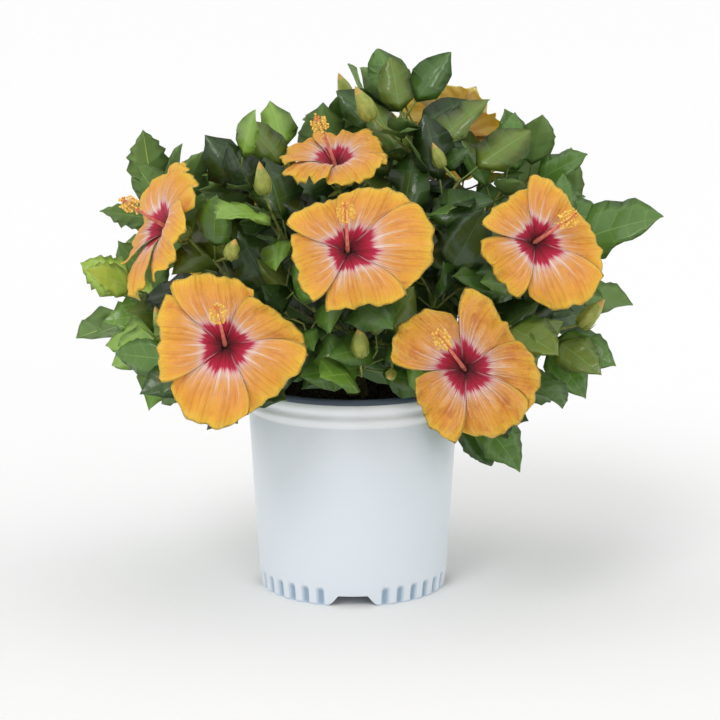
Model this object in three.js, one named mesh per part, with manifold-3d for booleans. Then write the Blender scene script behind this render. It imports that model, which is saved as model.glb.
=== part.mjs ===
// A tropical hibiscus in bloom, growing in a white nursery pot, in millimetres with +Z up.
// The origin is on the ground under the middle of the pot, and the front of the plant faces -Y.
// One short main stem forks into boughs, each bough ends in a mass of leafy shoots, and each
// large bloom is a piece of its own on the end of a flowering shoot.
import * as THREE from "three";
import { mergeVertices } from "three/addons/utils/BufferGeometryUtils.js";
import Module from "manifold-3d";

const wasm = await Module();
wasm.setup();

// The pot
const POT_HEIGHT = 197;
const RIM_RADIUS = 101;
const FOOT_RADIUS = 87.5;
const WALL = 2;
const FLOOR_UNDERSIDE = 11;
const FLOOR_THICKNESS = 3;
const FOOT_LIP = 4;
const NOTCH_HEIGHT = 10;
const NOTCH_TOP_WIDTH = 27;
const NOTCH_FOOT_WIDTH = 45;
const NOTCHES = 4;
const WALL_SPREAD = 2.4;
const SPREAD_HEIGHT = 30;
const BAND_FOOT = 171;
const BAND_TOP = 183;
const BAND_DEPTH = 1.4;
const BAND_SLOPE = 3;
const RIM_ROUND = 4;
const FLOOR_ROUND = 10;
const POT_SIDES = 36;
const SOIL_TOP = 178;

// Fused pieces lose details smaller than this
const SMALLEST_DETAIL = 0.1;

// Gaps that keep neighbouring pieces apart
const GAP = 0.3;
const LEAF_ROOM = 9;
const OWN_LEAF_ROOM = 6;
const LIMB_ROOM = 7;
const ROOM_BEFORE_BLOOM = 60;
const ROOM_OVER_BLOOM = 32;

// The main stem and its boughs
const STEM_FOOT = [5, 6, SOIL_TOP - 5];
const STEM_FORK = [0, 0, 226];
const STEM_FLARE_RADIUS = 13;
const STEM_RADIUS = 8.5;
const STEM_FORK_RADIUS = 6.5;
const BOUGH_RADIUS = 4.6;
const SIDE_BOUGH_RADIUS = 3.4;
const BOUGH_TIP_RADIUS = 2.6;
const CROWN_HEART = [0, 0, 238];
const BOUGH_SHARE = 0.46;
const TWIG_RADIUS = 2.1;
const TWIG_TIP_RADIUS = 1.3;
const TWIG_PIECES = 3;

// How far the crown reaches from the origin to each side, and its top
const REACH = [278, 213, 503];

// Leaves
const LEAF_LENGTH = 76;
const LEAF_WIDTH = 0.68;
const PETIOLE_SHARE = 0.24;
const LEAF_SPACING = 21;
const MOST_LEAVES = 5;
const FAR_LEAF_LENGTH = 78;
const FAR_DROOP = 0.14;
const LEAF_TURN = THREE.MathUtils.degToRad(137.5);
const LEAVES_TO_FULL_SIZE = 4;
const YOUNG_SHARE = 0.72;
const LEAF_THICKNESS = 1.8;

// Blooms: petals as long as wide, in a shallow funnel, each petal one edge over and one edge under
const PETAL_WIDTH = 1.12;
const FUNNEL_DEPTH = 22;
const PETAL_TILT = 0.13;
const PETAL_THICKNESS = 1.2;
const CALYX_LENGTH = 18;
const STALK_LENGTH = 38;
const COLUMN_LENGTH = 52;
const UP = new THREE.Vector3(0, 0, 1);

// Each bloom: the middle of its throat, the way it faces (azimuth and elevation), the turn of its
// first petal, a petal's length, how ruffled it is, and how far its column leans sideways and
// upwards. The foremost ones also give each petal's angle, and its length at its clockwise
// corner, in its middle and at its other corner; the others vary theirs by their turn.
const BLOOMS = {
  front_left: { at: [-110, -165, 259], faces: [-88, 14], turn: 28, length: 66, ruffle: 6, lean: [-6, 29],
    petals: [[97, 55, 58, 72], [28, 76, 52, 48], [-38, 64, 59, 75], [-107, 61, 69, 66], [175, 71, 54, 66]] },
  front_centre: { at: [-4, -165, 341], faces: [-86, 17], turn: 3, length: 60, ruffle: 4, lean: [-4, 33],
    petals: [[66, 74, 56, 47], [-2, 60, 70, 73], [-76, 58, 47, 67], [200, 52, 45, 58], [122, 45, 45, 60]] },
  front_right: { at: [97, -176, 240], faces: [-93, 15], turn: 21, length: 63, ruffle: 8, lean: [-23, 27],
    petals: [[54, 52, 51, 74], [140, 51, 63, 65], [228, 45, 50, 67], [-62, 53, 61, 64], [-8, 63, 62, 53]] },
  right: { at: [159, -125, 343], faces: [-83, 14], turn: 3, length: 58, ruffle: 4, lean: [28, 19],
    petals: [[128, 50, 42, 54], [60, 43, 47, 60], [3, 67, 50, 44], [-65, 50, 62, 67], [-146, 52, 44, 55]] },
  left: { at: [-163, -62, 345], faces: [200, 25], turn: 60, length: 66, ruffle: 4, lean: [0, 8] },
  upper_centre: { at: [-14, -74, 401], faces: [-112, 66], turn: 30, length: 48, ruffle: 4, lean: [-10, 0] },
  top: { at: [94, 46, 416], faces: [56, 28], turn: 12, length: 56, ruffle: 5, lean: [4, 12] },
  back_left: { at: [-120, 160, 318], faces: [124, 24], turn: 10, length: 64, ruffle: 6, lean: [-8, 20] },
  back_right: { at: [124, 162, 282], faces: [56, 20], turn: 50, length: 63, ruffle: 5, lean: [6, 24] },
  back_top: { at: [4, 158, 378], faces: [94, 30], turn: 25, length: 60, ruffle: 6, lean: [10, 18] },
};

// Each mass of foliage: the main bough that carries it, how far along that bough its own bough
// leaves (1 where the main bough itself ends in the mass), where its leafy shoots end, the tips
// of the leaves that reach furthest and give the crown its outline, with the shoot where one is
// meant, and its buds: the shoot each grows from, where its tip is, and its length.
const MASSES = {
  upper_centre: { bough: "front", from: 1, seed: 3,
    shoots: [[97, -62, 392], [50, -92, 356]],
    far: [[127, -90, 376]], buds: [[0, 71, -70, 425, 24]] },
  front_left: { bough: "left", from: 0.42, seed: 7,
    shoots: [[-125, -84, 322], [-62, -112, 290], [-150, -100, 232]],
    far: [[-191, -110, 204], [-102, -116, 178]], buds: [[0, -101, -152, 350, 27]] },
  front_centre: { bough: "front", from: 0.35, seed: 12,
    shoots: [[8, -116, 222], [-36, -116, 284], [38, -112, 250]],
    far: [[-2, -142, 212], [-46, -118, 210], [46, -104, 211]],
    buds: [[0, 6, -150, 274, 32], [2, 32, -148, 227, 20]] },
  front_right: { bough: "right", from: 0.4, seed: 5,
    shoots: [[129, -110, 272], [142, -98, 230], [76, -112, 300]],
    far: [[124, -128, 142], [158, -112, 180]], buds: [] },
  right: { bough: "right", from: 1, seed: 9,
    shoots: [[186, -34, 326], [176, -72, 254], [182, 24, 276]],
    far: [[276, -95, 363], [237, -95, 227], [211, -88, 195]], buds: [[1, 226, -84, 286, 34]] },
  upper_right: { bough: "right", from: 0.66, seed: 14,
    shoots: [[140, -40, 388], [166, 22, 382], [182, 40, 326]],
    far: [[217, 0, 408], [218, 20, 366], [178, 30, 429], [140, 10, 449]], buds: [] },
  top: { bough: "back", from: 0.6, seed: 21,
    shoots: [[48, -10, 446], [58, 10, 436], [62, -36, 408]],
    far: [[90, -5, 502, 0], [34, 6, 497, 0], [6, 22, 486], [-16, 4, 466], [112, 0, 456]],
    buds: [[2, 2, -54, 474, 34]] },
  top_left: { bough: "left", from: 0.7, seed: 18,
    shoots: [[-60, -12, 402], [-24, 44, 380], [-74, 60, 378]],
    far: [[-100, -10, 441], [-40, 40, 441]], buds: [] },
  upper_left: { bough: "left", from: 0.55, seed: 26,
    shoots: [[-72, -96, 366], [-104, -48, 398]],
    far: [[-114, -50, 425], [-89, -110, 374], [-135, -30, 429]], buds: [[0, -82, -104, 412, 30]] },
  left: { bough: "left", from: 1, seed: 31,
    shoots: [[-122, -30, 350], [-190, 44, 356], [-176, 72, 308]],
    far: [[-206, 30, 399], [-239, 30, 351], [-139, 20, 409]], buds: [] },
  left_low: { bough: "back_left", from: 0.5, seed: 33,
    shoots: [[-194, -14, 280], [-166, -72, 258], [-188, 46, 250]],
    far: [[-256, 10, 305], [-233, -20, 254], [-271, 88, 219], [-223, -40, 216], [-173, -60, 192]],
    buds: [[1, -176, -100, 282, 24]] },
  back_left: { bough: "back_left", from: 1, seed: 40,
    shoots: [[-158, 118, 320], [-96, 166, 256], [-150, 140, 240]],
    far: [[-232, 128, 296], [-140, 212, 196], [-206, 150, 172]], buds: [[0, -196, 104, 372, 28]] },
  back_low: { bough: "back", from: 0.4, seed: 44,
    shoots: [[4, 176, 268], [54, 176, 226], [-46, 178, 230]],
    far: [[0, 212, 190], [96, 210, 170]], buds: [[0, 6, 196, 300, 30]] },
  back_top: { bough: "back", from: 1, seed: 51,
    shoots: [[14, 96, 432], [56, 118, 374], [-62, 116, 372]],
    far: [[-50, 130, 428], [70, 150, 420]], buds: [[0, -14, 84, 476, 28]] },
  back_right: { bough: "back", from: 0.25, seed: 57,
    shoots: [[156, 116, 322], [192, 84, 270], [116, 168, 236]],
    far: [[250, 110, 330], [232, 130, 214], [190, 190, 180]], buds: [[0, 186, 96, 376, 30]] },
};

// Where the sky shows through or beside the crown: from, to, and how wide to each side
const OPEN_SKY = [
  [[-30, 120, 492], [-30, 150, 480], 20], [[-92, -40, 468], [-92, 10, 468], 18],
  [[-236, -30, 398], [-236, 20, 398], 24], [[260, 10, 300], [232, -30, 304], 24],
  [[238, -20, 240], [240, 58, 228], 16], [[128, -46, 440], [135, 0, 447], 10],
  [[190, -150, 185], [200, -110, 176], 18], [[-188, -8, 162], [-155, -20, 150], 20],
  [[-168, -70, 319], [-187, 170, 283], 13],
];

// Small helpers
const vec = (p) => new THREE.Vector3(...p);
const between = (a, b, t) => a.clone().lerp(b, t);
const plus = (p, direction, distance) => p.clone().addScaledVector(direction, distance);
const radians = THREE.MathUtils.degToRad;

// A repeatable number from 0 to 1 for a seed and a draw.
function chance(seed, draw) {
  const x = Math.sin(seed * 12.9898 + draw * 78.233) * 43758.5453;
  return x - Math.floor(x);
}

const swing = (seed, draw, reach) => (2 * chance(seed, draw) - 1) * reach;

function heading([azimuth, elevation]) {
  const a = radians(azimuth);
  const e = radians(elevation);
  return new THREE.Vector3(Math.cos(a) * Math.cos(e), Math.sin(a) * Math.cos(e), Math.sin(e));
}

// The part of v that is square to the unit vector n, made a unit vector.
const squareTo = (v, n) => plus(v, n, -v.dot(n)).normalize();

function toSolid(geometry) {
  const plain = geometry.clone();
  plain.deleteAttribute("normal");
  plain.deleteAttribute("uv");
  const merged = mergeVertices(plain, 1e-4);
  return new wasm.Manifold(new wasm.Mesh({
    numProp: 3,
    vertProperties: merged.attributes.position.array,
    triVerts: new Uint32Array(merged.index.array),
  }));
}

function toGeometry(solid) {
  const mesh = solid.getMesh();
  const geometry = new THREE.BufferGeometry();
  geometry.setAttribute("position", new THREE.BufferAttribute(mesh.vertProperties, 3));
  geometry.setIndex(new THREE.BufferAttribute(mesh.triVerts, 1));
  geometry.computeVertexNormals();
  return geometry;
}

// A closed solid from its corner points and its triangles.
function facetSolid(corners, triangles) {
  const geometry = new THREE.BufferGeometry().setFromPoints(corners);
  geometry.setIndex(triangles.flat());
  return toSolid(geometry);
}

// A limb of round section along a line, with a radius at each of its rings. The rings are evenly
// spaced, or stand at the given shares of the line.
function limb(line, radii, sides, shares = radii.map((_, i) => i / (radii.length - 1))) {
  const corners = [];
  const triangles = [];
  let across = null;
  shares.forEach((share, i) => {
    const centre = line.getPoint(share);
    const along = line.getTangent(share);
    const start = Math.abs(along.z) < 0.9 ? UP : new THREE.Vector3(1, 0, 0);
    across = squareTo(across ?? start, along);
    const third = along.clone().cross(across);
    for (let k = 0; k < sides; k += 1) {
      const a = (2 * Math.PI * k) / sides;
      corners.push(plus(plus(centre, across, radii[i] * Math.cos(a)), third, radii[i] * Math.sin(a)));
    }
  });
  const last = (radii.length - 1) * sides;
  for (let ring = 0; ring < last; ring += sides) {
    for (let k = 0; k < sides; k += 1) {
      const [a, b] = [ring + k, ring + ((k + 1) % sides)];
      triangles.push([a, b, b + sides], [a, b + sides, a + sides]);
    }
  }
  for (let k = 1; k < sides - 1; k += 1) {
    triangles.push([0, k + 1, k], [last, last + k, last + k + 1]);
  }
  return facetSolid(corners, triangles);
}

// A thin sheet over a grid: surface(u, v) for u from -1 to 1 and v from 0 to 1.
function sheet(surface, columns, rows, thickness) {
  const corners = [];
  const triangles = [];
  const step = 0.01;
  const width = columns + 1;
  const half = width * (rows + 1);
  for (const face of [0.5, -0.5]) {
    for (let j = 0; j <= rows; j += 1) {
      for (let i = 0; i <= columns; i += 1) {
        const [u, v] = [(2 * i) / columns - 1, j / rows];
        const p = surface(u, v);
        const du = surface(u + step, v).sub(surface(u - step, v));
        const dv = surface(u, v + step).sub(surface(u, v - step));
        corners.push(plus(p, du.cross(dv).normalize(), face * thickness));
      }
    }
  }
  const at = (i, j) => j * width + i;
  for (let j = 0; j < rows; j += 1) {
    for (let i = 0; i < columns; i += 1) {
      const [a, b, c, d] = [at(i, j), at(i + 1, j), at(i + 1, j + 1), at(i, j + 1)];
      triangles.push([a, b, c], [a, c, d], [half + a, half + c, half + b], [half + a, half + d, half + c]);
    }
  }
  const edge = [];
  for (let i = 0; i < columns; i += 1) edge.push([at(i + 1, 0), at(i, 0)], [at(i, rows), at(i + 1, rows)]);
  for (let j = 0; j < rows; j += 1) edge.push([at(0, j), at(0, j + 1)], [at(columns, j + 1), at(columns, j)]);
  edge.forEach(([a, b]) => triangles.push([a, b, half + b], [a, half + b, half + a]));
  return facetSolid(corners, triangles);
}

const fuse = (solids) => wasm.Manifold.union(solids).asOriginal().simplify(SMALLEST_DETAIL);

// The pot: a thin wall that widens upwards, a rolled rim over a shallow band, a raised floor, and
// a foot that is cut by four drainage notches.
function pot() {
  const floor = FLOOR_UNDERSIDE + FLOOR_THICKNESS;
  const outer = [
    [FOOT_RADIUS - FOOT_LIP, 0], [FOOT_RADIUS - 1, 0], [FOOT_RADIUS, 2],
    [FOOT_RADIUS + WALL_SPREAD, SPREAD_HEIGHT], [RIM_RADIUS - 2 * BAND_DEPTH, BAND_FOOT],
    [RIM_RADIUS - BAND_DEPTH, BAND_FOOT + BAND_SLOPE], [RIM_RADIUS - BAND_DEPTH, BAND_TOP],
    [RIM_RADIUS, BAND_TOP + BAND_SLOPE], [RIM_RADIUS, POT_HEIGHT - RIM_ROUND],
    [RIM_RADIUS - BAND_DEPTH, POT_HEIGHT],
  ];
  const inner = [
    [RIM_RADIUS - 3 * BAND_DEPTH, POT_HEIGHT], [RIM_RADIUS - 2 * BAND_DEPTH - WALL, BAND_FOOT],
    [FOOT_RADIUS + WALL_SPREAD - WALL, floor + FLOOR_ROUND], [FOOT_RADIUS - WALL, floor], [0, floor],
    [0, FLOOR_UNDERSIDE], [FOOT_RADIUS - FOOT_LIP, FLOOR_UNDERSIDE],
  ];
  const profile = [...outer, ...inner, outer[0]].map(([r, z]) => new THREE.Vector2(r, z));
  const shell = toSolid(new THREE.LatheGeometry(profile, POT_SIDES).rotateX(Math.PI / 2));
  const opening = new THREE.Shape([
    new THREE.Vector2(-NOTCH_FOOT_WIDTH / 2, -1), new THREE.Vector2(NOTCH_FOOT_WIDTH / 2, -1),
    new THREE.Vector2(NOTCH_TOP_WIDTH / 2, NOTCH_HEIGHT),
    new THREE.Vector2(-NOTCH_TOP_WIDTH / 2, NOTCH_HEIGHT),
  ]);
  const notch = new THREE.ExtrudeGeometry(opening, { depth: 40, bevelEnabled: false })
    .rotateX(Math.PI / 2).translate(0, 20 - FOOT_RADIUS, 0);
  let made = shell;
  for (let k = 0; k < NOTCHES; k += 1) {
    const turned = notch.clone().rotateZ((2 * Math.PI * k) / NOTCHES);
    made = made.subtract(toSolid(turned));
  }
  return made;
}

function pottingMix() {
  const floor = FLOOR_UNDERSIDE + FLOOR_THICKNESS + GAP;
  const top = RIM_RADIUS - 2 * BAND_DEPTH - WALL - GAP;
  const profile = [
    [0, floor], [FOOT_RADIUS - 2 * WALL, floor],
    [FOOT_RADIUS + WALL_SPREAD - WALL - 3 * GAP, floor + FLOOR_ROUND],
    [top, BAND_FOOT], [top, SOIL_TOP], [0, SOIL_TOP],
  ].map(([r, z]) => new THREE.Vector2(r, z));
  return toSolid(new THREE.LatheGeometry(profile, POT_SIDES).rotateX(Math.PI / 2));
}

// The lines that limbs follow
const curve = (a, b, c) => new THREE.QuadraticBezierCurve3(a, b, c);
const straight = (a, b) => new THREE.LineCurve3(a, b);
const heart = vec(CROWN_HEART);

// A bloom's own frame: the way it faces, its sideways and upward directions, where its calyx
// begins, and the line of its stalk from the shoot that carries it.
function bloomFrame(bloom) {
  const out = heading(bloom.faces);
  const upward = squareTo(UP, out);
  const side = upward.clone().cross(out);
  const at = vec(bloom.at);
  const calyx = plus(at, out, -CALYX_LENGTH);
  const rise = out.clone().multiplyScalar(0.8).addScaledVector(UP, 0.6).normalize();
  const foot = plus(calyx, rise, -STALK_LENGTH);
  return { at, out, upward, side, calyx, rise, foot };
}

// Each petal's angle in the bloom and its three lengths.
function petalsOf(bloom) {
  const length = (k, draw) => bloom.length * (1 + swing(bloom.turn + 10 * k, draw, 0.13));
  return bloom.petals ?? [0, 1, 2, 3, 4].map((k) =>
    [bloom.turn + 72 * k, length(k, 61), length(k, 62) * 0.95, length(k, 63)]);
}

// A point on a petal: u across it from -1 to 1, v along it from 0 to 1.
function petalPoint(bloom, frame, petal, u, v) {
  const seed = bloom.turn + 10 * petal;
  const [turn, first, middle, last] = petalsOf(bloom)[petal];
  const length = middle + ((last - first) / 2) * u + ((first + last) / 2 - middle) * u * u;
  const share = Math.max(0, v) * (1 - 0.26 * Math.abs(u) ** 2.4);
  const spread = 0.13 + 0.87 * Math.sin((Math.min(1, share / 0.74) * Math.PI) / 2) ** 1.15;
  const sideways = u * spread * length * PETAL_WIDTH * 0.5;
  const outward = 3 + length * share;
  const wave = 0.6 * Math.sin(2 * Math.PI * (1.1 * u + chance(seed, 2)))
    + 0.4 * Math.sin(2 * Math.PI * (2.3 * u + chance(seed, 3)));
  const edgeWave = Math.abs(u) ** 3 * Math.sin(2 * Math.PI * (1.9 * share + chance(seed, 4)));
  const height = FUNNEL_DEPTH * (1 - Math.exp(-3.6 * share)) - 9 * share * share
    + PETAL_TILT * sideways + 3 * u * u * (1 - 1.5 * share)
    + bloom.ruffle * (share ** 1.6 * wave + 0.5 * share * edgeWave);
  const angle = radians(turn);
  const [c, s] = [Math.cos(angle), Math.sin(angle)];
  const p = plus(frame.at, frame.side, outward * c - sideways * s);
  return plus(plus(p, frame.upward, outward * s + sideways * c), frame.out, height);
}

// One bloom: five petals fused at the throat, the column of stamens, the calyx and the stalk.
function bloomSolid(bloom) {
  const frame = bloomFrame(bloom);
  const petals = [0, 1, 2, 3, 4].map((petal) =>
    sheet((u, v) => petalPoint(bloom, frame, petal, u, v), 3, 3, PETAL_THICKNESS));
  const [sideways, upwards] = bloom.lean;
  const leaning = plus(frame.side.clone().multiplyScalar(sideways), frame.upward, upwards);
  const forward = Math.sqrt(COLUMN_LENGTH ** 2 - leaning.lengthSq());
  const columnTip = plus(frame.at, frame.out, forward).add(leaning);
  const columnBend = plus(plus(frame.at, frame.out, 0.5 * forward), leaning, 0.3);
  const columnLine = curve(plus(frame.at, frame.out, -4), columnBend, columnTip);
  const column = limb(columnLine, [3.4, 1.9, 1.9, 4.8, 2.2], 5);
  const calyxLine = straight(frame.calyx, plus(frame.at, frame.out, 4));
  const calyx = limb(calyxLine, [2.2, 6.4, 8], 5, [0, 0.3, 1]);
  const bend = plus(frame.foot, frame.rise, STALK_LENGTH * 0.6);
  const stalkLine = curve(plus(frame.foot, frame.rise, GAP), bend, calyxLine.getPoint(0.2));
  const stalk = limb(stalkLine, [1.5, 1.4, 1.6], 4);
  return fuse([...petals, column, calyx, stalk]);
}

// A leafy or flowering shoot's line, from the end of its mass's stem to its tip.
function shootLine(root, tip, rise) {
  const length = root.distanceTo(tip);
  const bend = rise ? plus(tip, rise, -0.4 * length) : plus(between(root, tip, 0.5), UP, -0.12 * length);
  return curve(root, bend, tip);
}

// The plan of one mass: where its bough ends, its stem, and its shoots.
function plan(name) {
  const mass = MASSES[name];
  const tips = mass.shoots.map(vec);
  const bloom = BLOOMS[name] ? bloomFrame(BLOOMS[name]) : null;
  const ends = bloom ? [...tips, bloom.foot] : tips;
  const middle = ends.reduce((sum, p) => sum.add(p), new THREE.Vector3()).divideScalar(ends.length);
  const root = between(heart, middle, BOUGH_SHARE);
  const along = middle.clone().sub(heart).normalize();
  const fork = plus(root, along, 10);
  const lines = tips.map((tip) => shootLine(fork, tip, null));
  if (bloom) lines.push(shootLine(fork, bloom.foot, bloom.rise));
  return { name, mass, root, along, fork, lines };
}

const plans = Object.fromEntries(Object.keys(MASSES).map((name) => [name, plan(name)]));

// The main stem, with a flare at the soil.
const stemLine = curve(vec(STEM_FOOT), vec([4, 5, 200]), vec(STEM_FORK));
const stemSolid = (extra) => limb(
  stemLine,
  [STEM_FLARE_RADIUS, STEM_RADIUS + 1, STEM_RADIUS, STEM_RADIUS - 0.5, STEM_RADIUS - 1.2, STEM_FORK_RADIUS]
    .map((r) => r + extra), 10).trimByPlane([0, 0, 1], SOIL_TOP + GAP);

// A bough's line: it ends along the stem of the mass it carries.
function boughTo(start, p) {
  return curve(start, plus(p.root, p.along, -0.5 * start.distanceTo(p.root)), p.root);
}

// Boughs: a main bough runs from the main stem to the mass at its end, and a side bough leaves it.
const mainBoughs = Object.values(plans).filter((p) => p.mass.from === 1);
const boughLine = {};
mainBoughs.forEach((p, k) => {
  boughLine[p.mass.bough] = boughTo(stemLine.getPoint(0.62 + 0.07 * k), p);
});

function boughSolid(line, radius, extra) {
  const radii = [0, 1, 2, 3].map((i) => radius + ((BOUGH_TIP_RADIUS - radius) * i) / 3 + extra);
  return limb(line, radii, 6);
}

// What leaves must stay clear of: points along limbs with a radius, points on leaves, and blooms.
const limbPoints = [];
const leafPoints = [];
const frames = Object.values(BLOOMS).map((bloom) => ({ bloom, frame: bloomFrame(bloom) }));

function markLimb(line, radius, owner) {
  const steps = Math.ceil(line.getLength() / 8);
  line.getPoints(steps).forEach((p) => limbPoints.push({ p, radius, owner }));
}

// True where a leaf would lie in a bloom, hide its face, or press on its stalk.
function inBloom(p) {
  return frames.some(({ bloom, frame }) => {
    const offset = p.clone().sub(frame.at);
    const along = offset.dot(frame.out);
    const radial = plus(offset, frame.out, -along).length();
    const share = Math.min(1, radial / bloom.length);
    const surface = FUNNEL_DEPTH * (1 - Math.exp(-3.6 * share)) - 9 * share * share;
    const room = bloom.faces[1] > 50 ? ROOM_OVER_BLOOM : ROOM_BEFORE_BLOOM;
    const petals = along > surface - 12 - bloom.ruffle && along < surface + room;
    const stalk = radial < 13 && along > -2.2 * CALYX_LENGTH && along < 0;
    return stalk || (petals && radial < bloom.length * 1.06);
  });
}

// True in the pot, near its rim, or before its front wall.
function inPot(p) {
  const before = Math.abs(p.x) < 0.88 * RIM_RADIUS && p.y < 0;
  return p.z < POT_HEIGHT + 7 && (before || Math.hypot(p.x, p.y) < RIM_RADIUS + 8);
}

const openSky = OPEN_SKY.map(([from, to, radius]) => ({ line: new THREE.Line3(vec(from), vec(to)), radius }));

const inOpenSky = (p) => openSky.some(({ line, radius }) =>
  line.closestPointToPoint(p, true, new THREE.Vector3()).distanceTo(p) < radius);

// A leaf's line of points: it leaves the shoot along `out` and bends away from its upper face.
function leafPoint(leaf, t, across) {
  const p = plus(leaf.at, leaf.out, leaf.length * t);
  return plus(plus(p, leaf.face, -leaf.droop * leaf.length * t * t), leaf.side, across * leaf.width);
}

const PROBES = [[0.4, 0.46], [0.4, -0.46], [0.7, 0.38], [0.7, -0.38], [0.4, 0], [0.6, 0], [0.8, 0], [1, 0]];

function leafFits(leaf, name) {
  const probes = PROBES.map(([t, across]) => leafPoint(leaf, t, across));
  const clash = probes.some((p) =>
    inPot(p) || inBloom(p) || inOpenSky(p)
    || Math.abs(p.x) > REACH[0] || Math.abs(p.y) > REACH[1] || p.z > REACH[2]
    || limbPoints.some((l) => l.owner !== name && l.p.distanceTo(p) < l.radius + LIMB_ROOM)
    || leafPoints.some((l) => l.p.distanceTo(p) < (l.owner === name ? OWN_LEAF_ROOM : LEAF_ROOM)));
  return clash ? null : probes;
}

// A point on the straight pieces that a shoot's solid is made of.
function onTwig(line, share) {
  const points = line.getPoints(TWIG_PIECES);
  const k = Math.min(TWIG_PIECES - 1, Math.floor(share * TWIG_PIECES));
  return between(points[k], points[k + 1], share * TWIG_PIECES - k);
}

// The way a leaf turns its upper face: to the sky and to the nearer broad side of the plant.
function openSide(p) {
  const outward = p.clone().sub(heart).normalize();
  const broad = new THREE.Vector3(0, p.y < 20 ? -1 : 1, 0);
  return outward.multiplyScalar(0.5).addScaledVector(broad, 0.8).addScaledVector(UP, 0.55);
}

// The leaves of one shoot, from its tip down: they turn round it by the golden angle, stand up
// when young and spread and droop with age. A leaf with no room is turned or shortened, or left out.
function growLeaves(line, seed, name, place) {
  const length = line.getLength();
  const count = Math.min(MOST_LEAVES, Math.max(4, Math.round(length / LEAF_SPACING)));
  for (let k = 0; k < count; k += 1) {
    const age = Math.min(1, (k + 0.9) / LEAVES_TO_FULL_SIZE);
    const share = Math.max(0.12, 0.97 - (k * LEAF_SPACING) / length);
    const at = onTwig(line, share);
    const along = line.getTangent(share);
    const outward = squareTo(at.clone().sub(heart), along);
    for (let attempt = 0; attempt < 7; attempt += 1) {
      const turn = seed + k * LEAF_TURN + [0, 0.5, -0.5, 1, -1, 1.7, -1.7][attempt];
      const round = outward.clone().applyAxisAngle(along, turn);
      const open = radians(24 + 58 * age + swing(seed, 5 * k + 1, 9));
      const out = plus(along.clone().multiplyScalar(Math.cos(open)), round, Math.sin(open));
      out.addScaledVector(UP, 0.25 - 0.75 * age).normalize();
      const face = squareTo(openSide(at), out).applyAxisAngle(out, swing(seed, 5 * k + 2, 0.5));
      const grown = YOUNG_SHARE + (1 - YOUNG_SHARE) * age;
      const size = LEAF_LENGTH * grown * (1 + swing(seed, 5 * k + 3, 0.12)) * (attempt > 3 ? 0.8 : 1);
      const leaf = {
        at, out, face, side: out.clone().cross(face), length: size / (1 - PETIOLE_SHARE),
        width: size * LEAF_WIDTH * (1 + swing(seed, 5 * k + 4, 0.1)), droop: 0.1 + 0.16 * age,
      };
      if (place(leaf, leafFits(leaf, name))) break;
    }
  }
}

// A leaf that reaches to a given tip, from the point on its mass's shoots that suits its length.
function growFarLeaf(lines, tip, name, place) {
  const shares = [0.3, 0.45, 0.6, 0.7, 0.8, 0.88, 0.96];
  const starts = lines.flatMap((line) => shares.map((share) => onTwig(line, share)));
  const misfit = (p) => Math.abs(p.distanceTo(tip) - FAR_LEAF_LENGTH);
  starts.sort((a, b) => misfit(a) - misfit(b));
  for (const at of starts.slice(0, 5)) {
    const length = at.distanceTo(tip);
    const direct = tip.clone().sub(at).normalize();
    const face = squareTo(openSide(tip), direct);
    const out = plus(direct, face, FAR_DROOP).normalize();
    const leaf = {
      at, out, face, side: out.clone().cross(face), length, droop: FAR_DROOP,
      width: length * (1 - PETIOLE_SHARE) * LEAF_WIDTH,
    };
    if (place(leaf, leafFits(leaf, name))) return;
  }
}

// A leaf solid: its foot is a point sunk past the middle of the shoot, its outline has five more
// corners, and the blade is thickest near the foot, one point above it and one below.
function leafSolid(leaf) {
  const foot = plus(leaf.at, leaf.out, -0.3 * TWIG_RADIUS);
  const outline = [[0.38, 0.48], [0.7, 0.4], [1, 0], [0.7, -0.4], [0.38, -0.48]];
  const rib = leafPoint(leaf, 0.28, 0);
  const corners = [
    foot, ...outline.map(([t, across]) => leafPoint(leaf, t, across)),
    plus(rib, leaf.face, LEAF_THICKNESS / 2), plus(rib, leaf.face, -LEAF_THICKNESS / 2),
  ];
  const triangles = [];
  for (let k = 0; k < 6; k += 1) triangles.push([6, k, (k + 1) % 6], [7, (k + 1) % 6, k]);
  return facetSolid(corners, triangles);
}

// A bud on a short stalk from a point on its shoot.
function budSolid(start, tip, length) {
  const along = tip.clone().sub(start).normalize().addScaledVector(UP, 0.5).normalize();
  const foot = plus(tip, along, -length);
  const stalk = limb(curve(start, between(start, foot, 0.6), plus(foot, along, 3)), [1.3, 1.2, 1.2], 3);
  const widths = [0.12, 0.27, 0.24, 0.03].map((share) => share * length);
  const body = limb(straight(foot, plus(foot, along, length)), widths, 5, [0, 0.25, 0.6, 1]);
  return [stalk, body];
}

// Everything placed so far, so that no leaf touches another piece.
const placed = [];
const place = (solid, owner, wood) => placed.push({ solid, box: solid.boundingBox(), owner, wood });

function touches(solid, owner) {
  const box = solid.boundingBox();
  const near = (other) => [0, 1, 2].every((k) =>
    other.min[k] < box.max[k] + 0.4 && other.max[k] > box.min[k] - 0.4);
  return placed.some((other) =>
    !(other.owner === owner && other.wood) && near(other.box) && other.solid.intersect(solid).volume() > 0);
}

// Build in order: pot, soil, stem, boughs, blooms, and then the masses round them.
const parts = [];
const finishes = {
  pot_white: new THREE.MeshStandardMaterial({ color: 0xe6eaee, roughness: 0.45, metalness: 0 }),
  potting_mix: new THREE.MeshStandardMaterial({ color: 0x2b211a, roughness: 0.95, metalness: 0 }),
  bark: new THREE.MeshStandardMaterial({ color: 0x6b6248, roughness: 0.8, metalness: 0 }),
  petals: new THREE.MeshStandardMaterial({ color: 0xf0a648, roughness: 0.6, metalness: 0 }),
  leaves: new THREE.MeshStandardMaterial({ color: 0x3f6b2c, roughness: 0.4, metalness: 0 }),
};

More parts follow.
